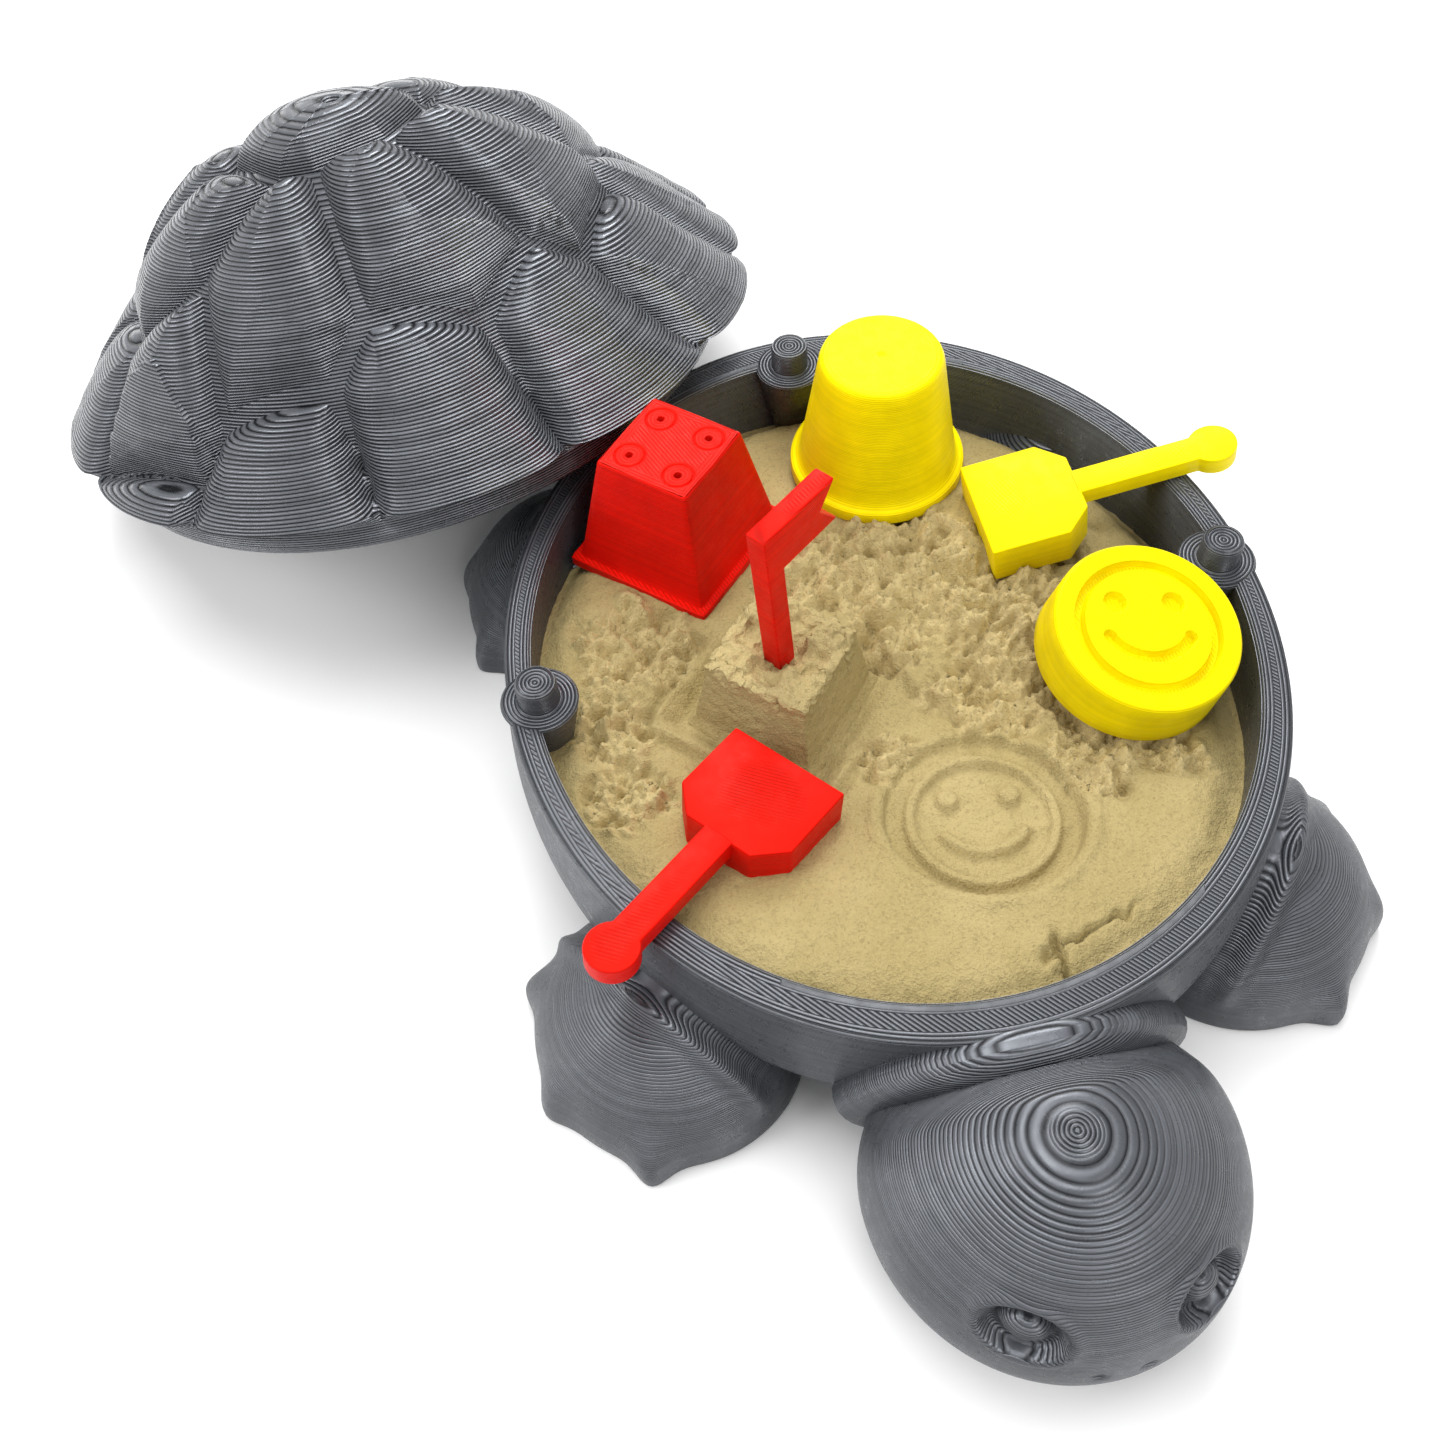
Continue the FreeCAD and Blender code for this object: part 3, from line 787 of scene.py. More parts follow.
    def _neck(self, grey: Material) -> None:
        """Arched neck with a rolled collar where the head meets it.

        Args:
            grey: Finish of the whole print.
        """
        def place(step: int, angle: float) -> Vector:
            """Point of the neck's arch.

            Args:
                step: Number of the ring.
                angle: Angle round the ring, in radians.

            Returns:
                The point.
            """
            y, swell = self.neck_rows[step]
            bow = 1.2 * math.cos(angle) ** 2 * (1 + 2.0 * smooth(-46, -50, y))
            rise = math.sin(angle)
            tuck = smooth(0.22, 0.5, rise)
            wide = self.neck_half_width * (0.8 + 0.2 * tuck) + swell * tuck
            shoulder = math.copysign(abs(math.cos(angle)) ** 0.75, math.cos(angle))
            return Vector((wide * shoulder, y + bow, (self.neck_top + swell) * rise))

        mesh = bmesh.new()
        loft_rings(mesh, len(self.neck_rows), 200, place)
        cut_at_floor(mesh)
        Piece("neck_roll", Body.BASE, ("neck_collar",), "base_grey").finish(mesh, grey)

    def _head(self, grey: Material) -> None:
        """Egg-shaped head with sunken eyes and small nostrils.

        Args:
            grey: Finish of the whole print.
        """
        mesh = bmesh.new()
        edge = mesh.verts.layers.float.new("from_edge")
        bmesh.ops.create_uvsphere(mesh, u_segments=260, v_segments=170, radius=1.0)
        rise = self.head_top - self.head_centre.z
        for vert in mesh.verts:
            x, y, z = vert.co
            length = self.head_front if y < 0 else self.head_back
            drop = 3.2 * smooth(3.5, 9.5, y * length) * smooth(0.0, 0.7, z)
            forward = 1.2 * smooth(0.4, 1.0, z)
            if z > 0.9:
                vert[edge] = min(0.0, math.hypot(x * self.head_half_width, y * length) - self.crown)
            vert.co = self.head_centre + Vector((x * self.head_half_width,
                                                 y * length - forward, z * rise - drop))
        mesh.normal_update()
        moves: list[tuple[Vert, Vector]] = []
        out = Vector((self.eye.x / self.head_half_width ** 2,
                      (self.eye.y - self.head_centre.y) / self.head_front ** 2,
                      (self.eye.z - self.head_centre.z) / rise ** 2)).normalized()
        along = Vector((0, 0, 1)).cross(out).normalized()
        upward = out.cross(along)
        for vert in mesh.verts:
            side = 1 if vert.co.x > 0 else -1
            gap = Vector((abs(vert.co.x), vert.co.y, vert.co.z)) - self.eye
            if gap.length < 9:
                across, up = gap.dot(along), gap.dot(upward)
                socket = math.hypot(across / self.eye_socket[0], (up + 0.3) / self.eye_socket[1])
                ball = math.hypot(across / self.eye_ball[0], (up - 0.25) / self.eye_ball[1])
                shift = -self.socket_depth * smooth(1.12, 0.72, socket)
                shift += 0.3 * hump(socket - 1.2, 0.16)
                if ball < 1:
                    shift += self.ball_rise * (1 - ball ** 2.4) ** 0.6
                moves.append((vert, Vector((out.x * side, out.y, out.z)) * shift))
            reach = math.hypot(abs(vert.co.x) - self.nostril[0], vert.co.z - self.nostril[1])
            if vert.co.y < -78 and reach < 2:
                moves.append((vert, vert.normal * -self.nostril_depth * hump(reach, 0.6)))
        push(moves)
        cut_at_floor(mesh)
        Piece("turtle_head", Body.BASE, ("head",), "base_grey").finish(mesh, grey, smooth_below=60)

    def _flipper(self, grey: Material, side: int, end: int, node: str) -> None:
        """Domed flipper with a cuff at the bowl and three claws on its edge.

        Args:
            grey: Its finish.
            side: 1 for the turtle's left, -1 for its right.
            end: 1 for the tail end, -1 for the head end.
            node: CAD node that it stands for.
        """
        mesh = bmesh.new()
        bmesh.ops.create_uvsphere(mesh, u_segments=200, v_segments=110, radius=1.0)
        turn = Matrix.Rotation(math.radians(self.flipper_angle), 3, "Z")
        centre_x, centre_y = self.flipper_centre
        for vert in mesh.verts:
            x, y, z = vert.co
            spread = 1.0 + 0.05 * abs(z) * (1 - abs(z))
            local = turn @ Vector((x * self.flipper_reach * spread,
                                   y * self.flipper_half_width * spread, 0))
            vert.co = Vector((centre_x + local.x, centre_y + local.y, z * self.flipper_top))
        mesh.normal_update()
        moves: list[tuple[Vert, Vector]] = []
        for vert in mesh.verts:
            x, y, z = vert.co
            out = -ellipse_clearance(x, y, *self.rim_half)
            shift = vert.normal * (hump(out - self.cuff[0], self.cuff[1]) * smooth(3.0, 8.0, z))
            for claw_x, claw_y in self.claws:
                reach = math.hypot(x - claw_x, y - claw_y)
                way = Vector((claw_x - centre_x, claw_y - centre_y, 0)).normalized()
                claw = self.claw_length * hump(reach, self.claw_width)
                shift = shift + way * (claw * smooth(9.0, 1.0, abs(z)))
            moves.append((vert, shift))
        push(moves)
        cut_at_floor(mesh)
        bmesh.ops.scale(mesh, vec=(side, end, 1), verts=mesh.verts)
        Piece(node + "_form", Body.BASE, (node,), "base_grey").finish(mesh, grey, smooth_below=60)


# ---------------------------------------------------------------- shell lid
@dataclass
class ShellLid:
    """Lift-off turtle shell: raised scutes with deep seams over a plain skirt."""

    half: tuple[float, float] = (46.5, 53.3)
    flare: tuple[float, float] = (3.2, 0.9)
    wall: tuple[float, float] = (4.4, 5.9)
    height: float = 36.0
    skirt: float = 4.0
    roof: float = 2.4
    rise: Pairs = (
        (0.0, 34.8), (0.2, 33.9), (0.38, 30.9), (0.54, 26.3), (0.66, 21.4),
        (0.76, 16.1), (0.85, 11.2), (0.93, 7.4), (1.0, 4.6))
    spot: tuple[float, float] = (-50.5, 76.0)
    axis: Vector = field(default_factory=lambda: Vector((-0.0774, 0.2602, 0.9625)))
    yaw: float = -5.0
    groove_depth: float = 2.7
    groove_width: float = 1.2
    pillow: float = 2.3
    uneven: float = 0.55
    dome_rows: int = 118
    scutes: Pairs = (
        (-4.0, 3.0), (9.5, -24.0), (-9.0, -28.0), (10.5, -46.5), (-13.0, -52.0),
        (30.0, -36.0), (23.5, -9.0), (-24.0, -11.0), (-30.0, -29.0), (-38.0, -39.0),
        (-44.0, -17.0), (42.0, -13.0), (40.0, 7.0), (26.0, 10.5), (-27.0, 8.5),
        (9.0, 23.0), (-12.0, 24.5), (-41.0, 12.0), (-25.0, 30.0), (23.5, 30.0),
        (39.0, 24.0), (31.0, 40.0), (16.0, 48.0), (0.0, 42.0), (-16.0, 48.0), (-35.0, 36.0))

    def pose(self) -> Matrix:
        """Where the lid leans, one end on the floor, in millimetres.

        Returns:
            Its turn and place.
        """
        turn = tilted(self.axis, self.yaw)
        lift = math.hypot(self.half[0] * turn.col[0].z, self.half[1] * turn.col[1].z)
        return Matrix.Translation((self.spot[0], self.spot[1], lift)) @ turn.to_4x4()

    def relief(self, x: float, y: float) -> float:
        """How far the shell stands above its plain dome at a place in plan.

        Args:
            x: Across the shell.
            y: Along the shell.

        Returns:
            Height of the scute, negative in a seam.
        """
        reaches = sorted((math.dist((x, y), spot), spot) for spot in self.scutes)[:3]
        first, own = reaches[0]
        near, far = ((reach * reach - first * first) / (2 * math.dist(own, spot))
                     for reach, spot in reaches[1:])
        seam = near * far / (near + far) * (1 + near / (far + 1e-6) * 0.5)
        height = self.pillow + self.uneven * math.sin(2.4 * self.scutes.index(own) + 0.7)
        groove = self.groove_depth * math.exp(-seam / self.groove_width)
        return height * (1 - math.exp(-seam / 4.2)) - groove

    def build(self, grey: Material) -> None:
        """Makes the lid.

        Args:
            grey: Its finish.
        """
        half_x, half_y = self.half
        wide_x, wide_y = half_x + self.flare[0], half_y + self.flare[1]
        low = 0.4
        rows = [("dome", (n / self.dome_rows) ** 0.92) for n in range(1, self.dome_rows + 1)]
        rows += [("skirt", z) for z in (3.3, 2.4, 1.2, low)]
        rows += [("foot", 0.0), ("foot", 1.0)]
        rows += [("inside", share) for share in (1.0, 0.96, 0.88, 0.76, 0.6, 0.4, 0.2, 0.03)]

        def place(step: int, angle: float) -> Vector:
            """Point of the shell, before its scutes rise.

            Args:
                step: Number of the ring.
                angle: Angle round the ring, in radians.

            Returns:
                The point.
            """
            kind, value = rows[step]
            cos, sin = math.cos(angle), math.sin(angle)
            if kind == "dome":
                x, y = wide_x * value * cos, wide_y * value * sin
                return Vector((x, y, curve_through(self.rise, value)))
            if kind == "skirt":
                trim = 0.3 if value > low else 0.5
                return Vector(((half_x - trim) * cos, (half_y - trim) * sin, value))
            if kind == "foot":
                trim_x, trim_y = self.wall if value else (0.9, 0.9)
                return Vector(((half_x - trim_x) * cos, (half_y - trim_y) * sin, 0.0))
            room_x, room_y = (half_x - self.wall[0]) * value, (half_y - self.wall[1]) * value
            arch = (self.height - self.roof - self.skirt) * max(0.0, 1 - value ** 2) ** 0.72
            return Vector((room_x * cos, room_y * sin, self.skirt + arch))

        mesh = bmesh.new()
        verts = loft_rings(mesh, len(rows), 340, place)
        bmesh.ops.recalc_face_normals(mesh, faces=mesh.faces)
        mesh.normal_update()
        moves: list[tuple[Vert, Vector]] = []
        for vert in verts:
            x, y, z = vert.co
            share = ellipse_reach(x, y, wide_x, wide_y)
            if share <= 1.0001 and z > curve_through(self.rise, min(share, 1.0)) - 0.05:
                height = self.relief(x, y) * (1 - 0.35 * smooth(0.9, 1.0, share))
                moves.append((vert, vert.normal * height))
        push(moves)
        Piece("scute_lid", Body.LID, ("shell_lid",), "lid_grey").finish(mesh, grey, self.pose(), 80)


# ---------------------------------------------------------------- sand
@dataclass
class SandFill:
    """The heaped sand with the marks pressed and dug in it, and the sand castle."""

    inner_half: tuple[float, float] = (42.0, 47.3)
    castle: tuple[float, float] = (-13.1, -2.5)
    castle_turn: float = 47.0
    castle_top: float = 27.3
    castle_half_top: float = 6.6
    castle_taper: float = 0.165
    imprint: tuple[float, float] = (4.3, -25.0)
    print_radius: float = 10.9
    print_turn: float = 9.0
    print_floor: float = 18.3
    castle_seat: float = 17.1
    mounds: tuple[tuple[float, float, float, float], ...] = (
        (9.0, 13.0, 10.0, 2.4), (19.0, -1.0, 9.0, 1.9), (-3.0, 15.0, 6.0, 1.6))
    wear_seed: int = 5
    rough_spots: tuple[tuple[float, float, float], ...] = (
        (6.0, 14.0, 12.0), (16.5, 2.0, 12.0), (23.0, -12.5, 9.5), (-5.0, 15.0, 8.0),
        (26.0, 14.0, 6.0), (-29.0, 9.0, 8.5), (-34.0, -3.0, 6.5), (11.0, -9.0, 8.5),
        (-34.0, -12.0, 6.0), (18.5, -21.0, 6.0), (1.0, 3.5, 7.5), (27.0, -21.0, 5.5),
        (-3.5, -15.0, 4.5))

    def roughness(self, x: float, y: float) -> float:
        """How crumbled the sand is at a place, from 0 to 1.

        Args:
            x: Place across the toy.
            y: Place along the toy.

        Returns:
            0 where it is smooth, 1 where it is all crumbs.
        """
        best = max(1.25 * hump(math.hypot(x - spot_x, y - spot_y), size)
                   for spot_x, spot_y, size in self.rough_spots)
        ragged = 0.35 * noise.noise(Vector((x * 0.22, y * 0.22, 3.1)))
        return smooth(0.35, 0.85, best + ragged)

    def level(self, x: float, y: float) -> float:
        """Height of the sand at a place, before it crumbles.

        Args:
            x: Place across the toy.
            y: Place along the toy.

        Returns:
            The height.
        """
        height = 17.8 + 5.0 * smooth(-6, -42, y) - 1.8 * smooth(16, 44, y) - 2.4 * smooth(24, 41, x)
        height += smooth(-8, -36, x) * smooth(30, 5, y)
        height += sum(rise * hump(math.hypot(x - spot_x, y - spot_y), size)
                      for spot_x, spot_y, size, rise in self.mounds)
        wall = ellipse_clearance(x, y, *self.inner_half)
        edge_drop = 1.3 + 1.8 * smooth(-5, 35, y) + 1.2 * smooth(10, 38, x) * smooth(-45, -10, y)
        return height - edge_drop * hump(max(0.0, wall), 2.6)

    def pressed(self, x: float, y: float, height: float) -> float:
        """Height after the stamp's face and the mould's square foot were pressed in.

        Args:
            x: Place across the toy.
            y: Place along the toy.
            height: Height of the sand before.

        Returns:
            The new height.
        """
        dx, dy = x - self.imprint[0], y - self.imprint[1]
        turn = math.radians(self.print_turn)
        u = dx * math.cos(turn) - dy * math.sin(turn)
        v = dx * math.sin(turn) + dy * math.cos(turn)
        reach = math.hypot(u, v)
        if reach < self.print_radius + 2.5:
            floor = self.print_floor - 0.06 * dy
            inside = smooth(self.print_radius + 0.35, self.print_radius - 0.25, reach)
            mark = 0.95 * smooth(0.85, 0.4, abs(reach - 8.1))
            for side in (-1, 1):
                mark = max(mark, smooth(1.5, 1.0, math.hypot(u - side * 3.5, v - 3.0)))
            arc = math.hypot(u, v - 1.4)
            bearing = math.degrees(math.atan2(u, -(v - 1.4)))
            if abs(bearing) < 64:
                smile = 0.95 * smooth(0.85, 0.4, abs(arc - 5.5))
                mark = max(mark, smile * smooth(64, 54, abs(bearing)))
            lip = 0.45 * hump(reach - self.print_radius - 1.2, 0.8)
            height = height * (1 - inside) + (floor + mark) * inside + lip * (1 - inside)
        turn = math.radians(self.castle_turn)
        dx, dy = x - self.castle[0], y - self.castle[1]
        u = abs(dx * math.cos(turn) + dy * math.sin(turn))
        v = abs(-dx * math.sin(turn) + dy * math.cos(turn))
        square = max(u, v)
        if square < 14.5:
            foot = 0.5 * hump(square - 11.5, 0.45) - 0.9 * hump(square - 12.6, 0.5)
            height += foot * smooth(2, -12, dx + dy)
            height += (self.castle_seat - height) * smooth(11.0, 9.0, square)
        return height

    def crumbled(self, x: float, y: float, height: float, rough: float) -> float:
        """Height with clumps, pits and the cracks at the head end.

        Args:
            x: Place across the toy.
            y: Place along the toy.
            height: Height of the sand before.
            rough: How crumbled it is, from 0 to 1.

        Returns:
            The new height.
        """
        spot = Vector((x, y, 0.0))
        clods = noise.fractal(spot * 0.2, 0.9, 2.1, 3)
        near = noise.voronoi(spot * 0.33)[0][0]
        crumbs = noise.voronoi(spot * 0.72 + Vector((7.0, 3.0, 0.0)))[0][0]
        grains = noise.voronoi(spot * 1.35 + Vector((1.0, 5.0, 0.0)))[0][0]
        grit = noise.noise(spot * 2.1)
        height += rough * (2.5 * clods + 1.3 - 3.0 * near * near
                           - 2.0 * crumbs * crumbs - 1.5 * grains * grains)
        height += (1 - rough) * (0.2 * noise.fractal(spot * 0.35, 0.8, 2.0, 3) + 0.07 * grit)
        crack_line = y + 43.4 - 0.28 * (x - 5.0) - 1.1 * noise.noise(spot * 0.6)
        crack = 0.6 * hump(crack_line, 0.3) * smooth(3, 5, x) * smooth(18, 12, x)
        branch = hump(x - 6.0 - 0.7 * noise.noise(spot * 0.8), 0.42) * smooth(-40.5, -43, y)
        return height - 2.3 * max(crack, branch)

    def build(self, sand: Material) -> None:
        """Makes the fill and the castle.

        Args:
            sand: Their finish.
        """
        mesh = bmesh.new()
        crumble = mesh.verts.layers.float.new("crumble")
        bmesh.ops.create_grid(mesh, x_segments=255, y_segments=285, size=1.0)
        reach_x, reach_y = self.inner_half[0] + 0.3, self.inner_half[1] + 0.3
        for vert in mesh.verts:
            a, b = vert.co.x, vert.co.y
            x = a * math.sqrt(max(0.0, 1 - b * b / 2)) * reach_x
            y = b * math.sqrt(max(0.0, 1 - a * a / 2)) * reach_y
            rough = self.roughness(x, y)
            height = self.pressed(x, y, self.level(x, y))
            in_print = smooth(self.print_radius + 1.5, self.print_radius - 1.0,
                              math.hypot(x - self.imprint[0], y - self.imprint[1]))
            rough *= 1 - 0.93 * in_print
            vert.co = Vector((x, y, self.crumbled(x, y, height, rough)))
            vert[crumble] = 0.15 + 0.85 * rough - 0.1 * in_print
        rim = [edge for edge in mesh.edges if edge.is_boundary]
        geometry = bmesh.ops.extrude_edge_only(mesh, edges=rim)["geom"]
        for vert in only(geometry, Vert):
            vert.co = Vector((vert.co.x * 0.93, vert.co.y * 0.93, 8.0))
        bmesh.ops.contextual_create(mesh, geom=only(geometry, Edge))
        fill = Piece("sand_fill", Body.BASE, ("sand_bed", "sand_heap"), "sand")
        fill.finish(mesh, sand, None, 170)
        self._castle(sand)

    def _castle(self, sand: Material) -> None:
        """Square sand castle with a sunken cross and a crumbled top.

        Args:
            sand: Its finish.
        """
        noise.seed_set(self.wear_seed)
        mesh = bmesh.new()
        crumble = mesh.verts.layers.float.new("crumble")
        bmesh.ops.create_cube(mesh, size=2.0)
        bmesh.ops.subdivide_edges(mesh, edges=mesh.edges[:], cuts=70, use_grid_fill=True)
        bottom, top = 15.0, self.castle_top
        turn = Matrix.Rotation(math.radians(self.castle_turn), 4, "Z")
        for vert in mesh.verts:
            a, b, c = vert.co
            on_top = c > 0.999
            share = (c + 1) / 2
            height = bottom + (top - bottom) * share
            half = self.castle_half_top + self.castle_taper * (top - height)
            half += 0.8 * smooth(18.8, 16.5, height)
            corner = max(0.0, abs(a) + abs(b) - 1.0)
            ease = 1 - 0.055 * corner ** 3
            x, y = a * half * ease, b * half * ease
            spot = Vector((x, y, height))
            worn = smooth(0.78, 1.0, share) * 0.35 + 0.08
            worn += 0.28 * smooth(0.55, 1.0, noise.noise(spot * 0.35) + share * 0.55)
            jitter = noise.noise_vector(spot * 0.9) * worn
            jitter += noise.noise_vector(spot * 2.1) * (worn * 0.45)
            if on_top:
                square = max(abs(x), abs(y))
                edge_fall = 0.3 * smooth(self.castle_half_top - 1.1, self.castle_half_top, square)
                cross = min(abs(x), abs(y))
                sunk = smooth(2.4, 1.2, cross) * smooth(6.4, 4.2, square)
                sunk += 0.9 * smooth(3.2, 1.6, math.hypot(x, y))
                height += 0.4 - edge_fall - sunk + 0.35 * noise.fractal(spot * 0.5, 0.8, 2.2, 3)
            else:
                height += 0.4 * smooth(0.8, 1.0, share) - 0.4 * smooth(0.93, 1.0, share)
            vert[crumble] = 0.6 if on_top else 0.12 + 0.4 * smooth(0.8, 1.0, share)
            height += jitter.z * (0.3 + 0.5 * share)
            vert.co = turn @ Vector((x + jitter.x, y + jitter.y, height))
        bmesh.ops.translate(mesh, vec=(self.castle[0], self.castle[1], 0), verts=mesh.verts)
        Piece("sand_keep", Body.BASE, ("sand_castle",), "sand").finish(mesh, sand, None, 170)


# ---------------------------------------------------------------- toys
@dataclass
class CastleMould:
    """Square mould upside down, with a lip below and four vents on top."""

    centre: tuple[float, float] = (-20.2, 25.3)
    base: float = 17.3
    turn: float = 46.0
    height: float = 17.2
    top_half: float = 6.4
    base_half: float = 9.5
    lip_out: float = 0.7
    lip_height: float = 1.6
    wall: float = 1.0
    corner: float = 0.5
    vent: float = 0.42
    vent_spot: float = 3.5

    def build(self, red: Material) -> None:
        """Makes the mould.

        Args:
            red: Its finish.
        """
        lip, rim = self.base_half + self.lip_out, self.lip_height
        taper = (self.base_half - self.top_half) / self.height
        outside = [(self.top_half - 0.2, self.height)]
        outside += [(self.base_half - taper * z, z)
                    for z in (self.height - 0.25, 16, 14, 12, 10, 8, 6, 4, 2.2)]
        outside += [(self.base_half - taper * 1.8 + 0.15, rim + 0.05), (lip - 0.15, rim),
                    (lip, rim - 0.15), (lip, 0.2), (lip - 0.2, 0.0)]
        inside = [(self.base_half - self.wall, 0.0),
                  (self.top_half - self.wall, self.height - 1.2)]
        mesh = bmesh.new()
        edge = mesh.verts.layers.float.new("from_edge")
        for rows, closed in ((outside, False), (inside, True)):
            def place(step: int, angle: float, rows: Pairs = rows) -> Vector:
                """Point of the outside from the top down, or of the inside from the foot up."""
                half, z = rows[step]
                return self._square(half, angle, z)

            loft_rings(mesh, len(rows), 160, place, close_first=False, close_last=closed)
        foot = [e for e in mesh.edges if e.is_boundary and max(v.co.z for v in e.verts) < 0.01]
        bmesh.ops.bridge_loops(mesh, edges=foot)
        roof = bmesh.ops.create_grid(mesh, x_segments=128, y_segments=128,
                                     size=self.top_half - 0.2)
        for vert in roof["verts"]:
            x, y = vert.co.x, vert.co.y
            squeeze = 1 - 0.02 * max(0.0, abs(x) + abs(y) - self.top_half) / self.top_half
            gap = math.hypot(abs(x) - self.vent_spot, abs(y) - self.vent_spot)
            dip = smooth(self.vent + 0.08, self.vent - 0.08, gap)
            dip += 0.09 * (hump(gap - 0.9, 0.15) + hump(gap - 1.35, 0.15))
            dip += 0.2 * hump(gap - 1.85, 0.17)
            vert.co = Vector((x * squeeze, y * squeeze, self.height + 0.02 - dip))
            vert[edge] = max(0.01, min(self.top_half - max(abs(x), abs(y)), gap - self.vent))
        pose = Matrix.Translation((self.centre[0], self.centre[1], self.base))
        pose = pose @ Matrix.Rotation(math.radians(self.turn), 4, "Z")
        mould = Piece("square_mould", Body.MOULD, ("castle_mould",), "red_plastic")
        mould.finish(mesh, red, pose, 25)

    def _square(self, half: float, angle: float, z: float) -> Vector:
        """Point of a square ring whose corners are eased.

        Args:
            half: Half of the ring's side.
            angle: Angle round it, in radians.
            z: Its height.

        Returns:
            The point.
        """
        cos, sin = math.cos(angle), math.sin(angle)
        reach = half / max(abs(cos), abs(sin))
        x, y = reach * cos, reach * sin
        ease = self.corner
        over_x, over_y = abs(x) - (half - ease), abs(y) - (half - ease)
        if over_x > 0 and over_y > 0:
            length = math.hypot(over_x, over_y)
            x = math.copysign(half - ease + over_x * ease / length, x)
            y = math.copysign(half - ease + over_y * ease / length, y)
        return Vector((x, y, z))


@dataclass
class SandBucket:
    """Round bucket upside down, with a lip ring below."""

    centre: tuple[float, float] = (8.4, 32.4)
    base: float = 17.3
    height: float = 18.7
    top_radius: float = 7.75
    base_radius: float = 10.8
    lip_out: float = 0.8
    lip_height: float = 2.0
    wall: float = 1.1

    def build(self, yellow: Material) -> None:
        """Makes the bucket.

        Args:
            yellow: Its finish.
        """
        slope = (self.base_radius - self.top_radius) / self.height
        lip = self.base_radius + self.lip_out
        top, high, rim = self.top_radius, self.height, self.lip_height
        rows = [(0.35, high - 0.5), (0.4, high - 0.05), (0.7, high), (2.5, high), (4.5, high),
                (6.5, high), (top - 0.7, high - 0.02), (top - 0.28, high - 0.12),
                (top - 0.05, high - 0.4), (top + slope * 0.9, high - 0.9)]
        rows += [(top + slope * (high - z), z) for z in (16, 14, 12, 10, 8, 6, 4, 2.6)]
        rows += [(self.base_radius - slope * rim + 0.3, rim + 0.12), (lip - 0.45, rim),
                 (lip - 0.1, rim - 0.2), (lip, rim - 0.6), (lip, 0.3), (lip - 0.25, 0.0),
                 (self.base_radius - self.wall, 0.0), (top - self.wall, high - 1.2)]
        mesh = bmesh.new()
        edge = mesh.verts.layers.float.new("from_edge")

        def place(step: int, angle: float) -> Vector:
            """Point of the bucket's wall."""
            radius, z = rows[step]
            return Vector((radius * math.cos(angle), radius * math.sin(angle), z))

        for vert in loft_rings(mesh, len(rows), 128, place):
            if vert.co.z > high - 0.06:
                vert[edge] = max(0.01, top - math.hypot(vert.co.x, vert.co.y))
        pose = Matrix.Translation((self.centre[0], self.centre[1], self.base))
        bucket = Piece("round_bucket", Body.BUCKET, ("bucket",), "yellow_plastic")
        bucket.finish(mesh, yellow, pose)


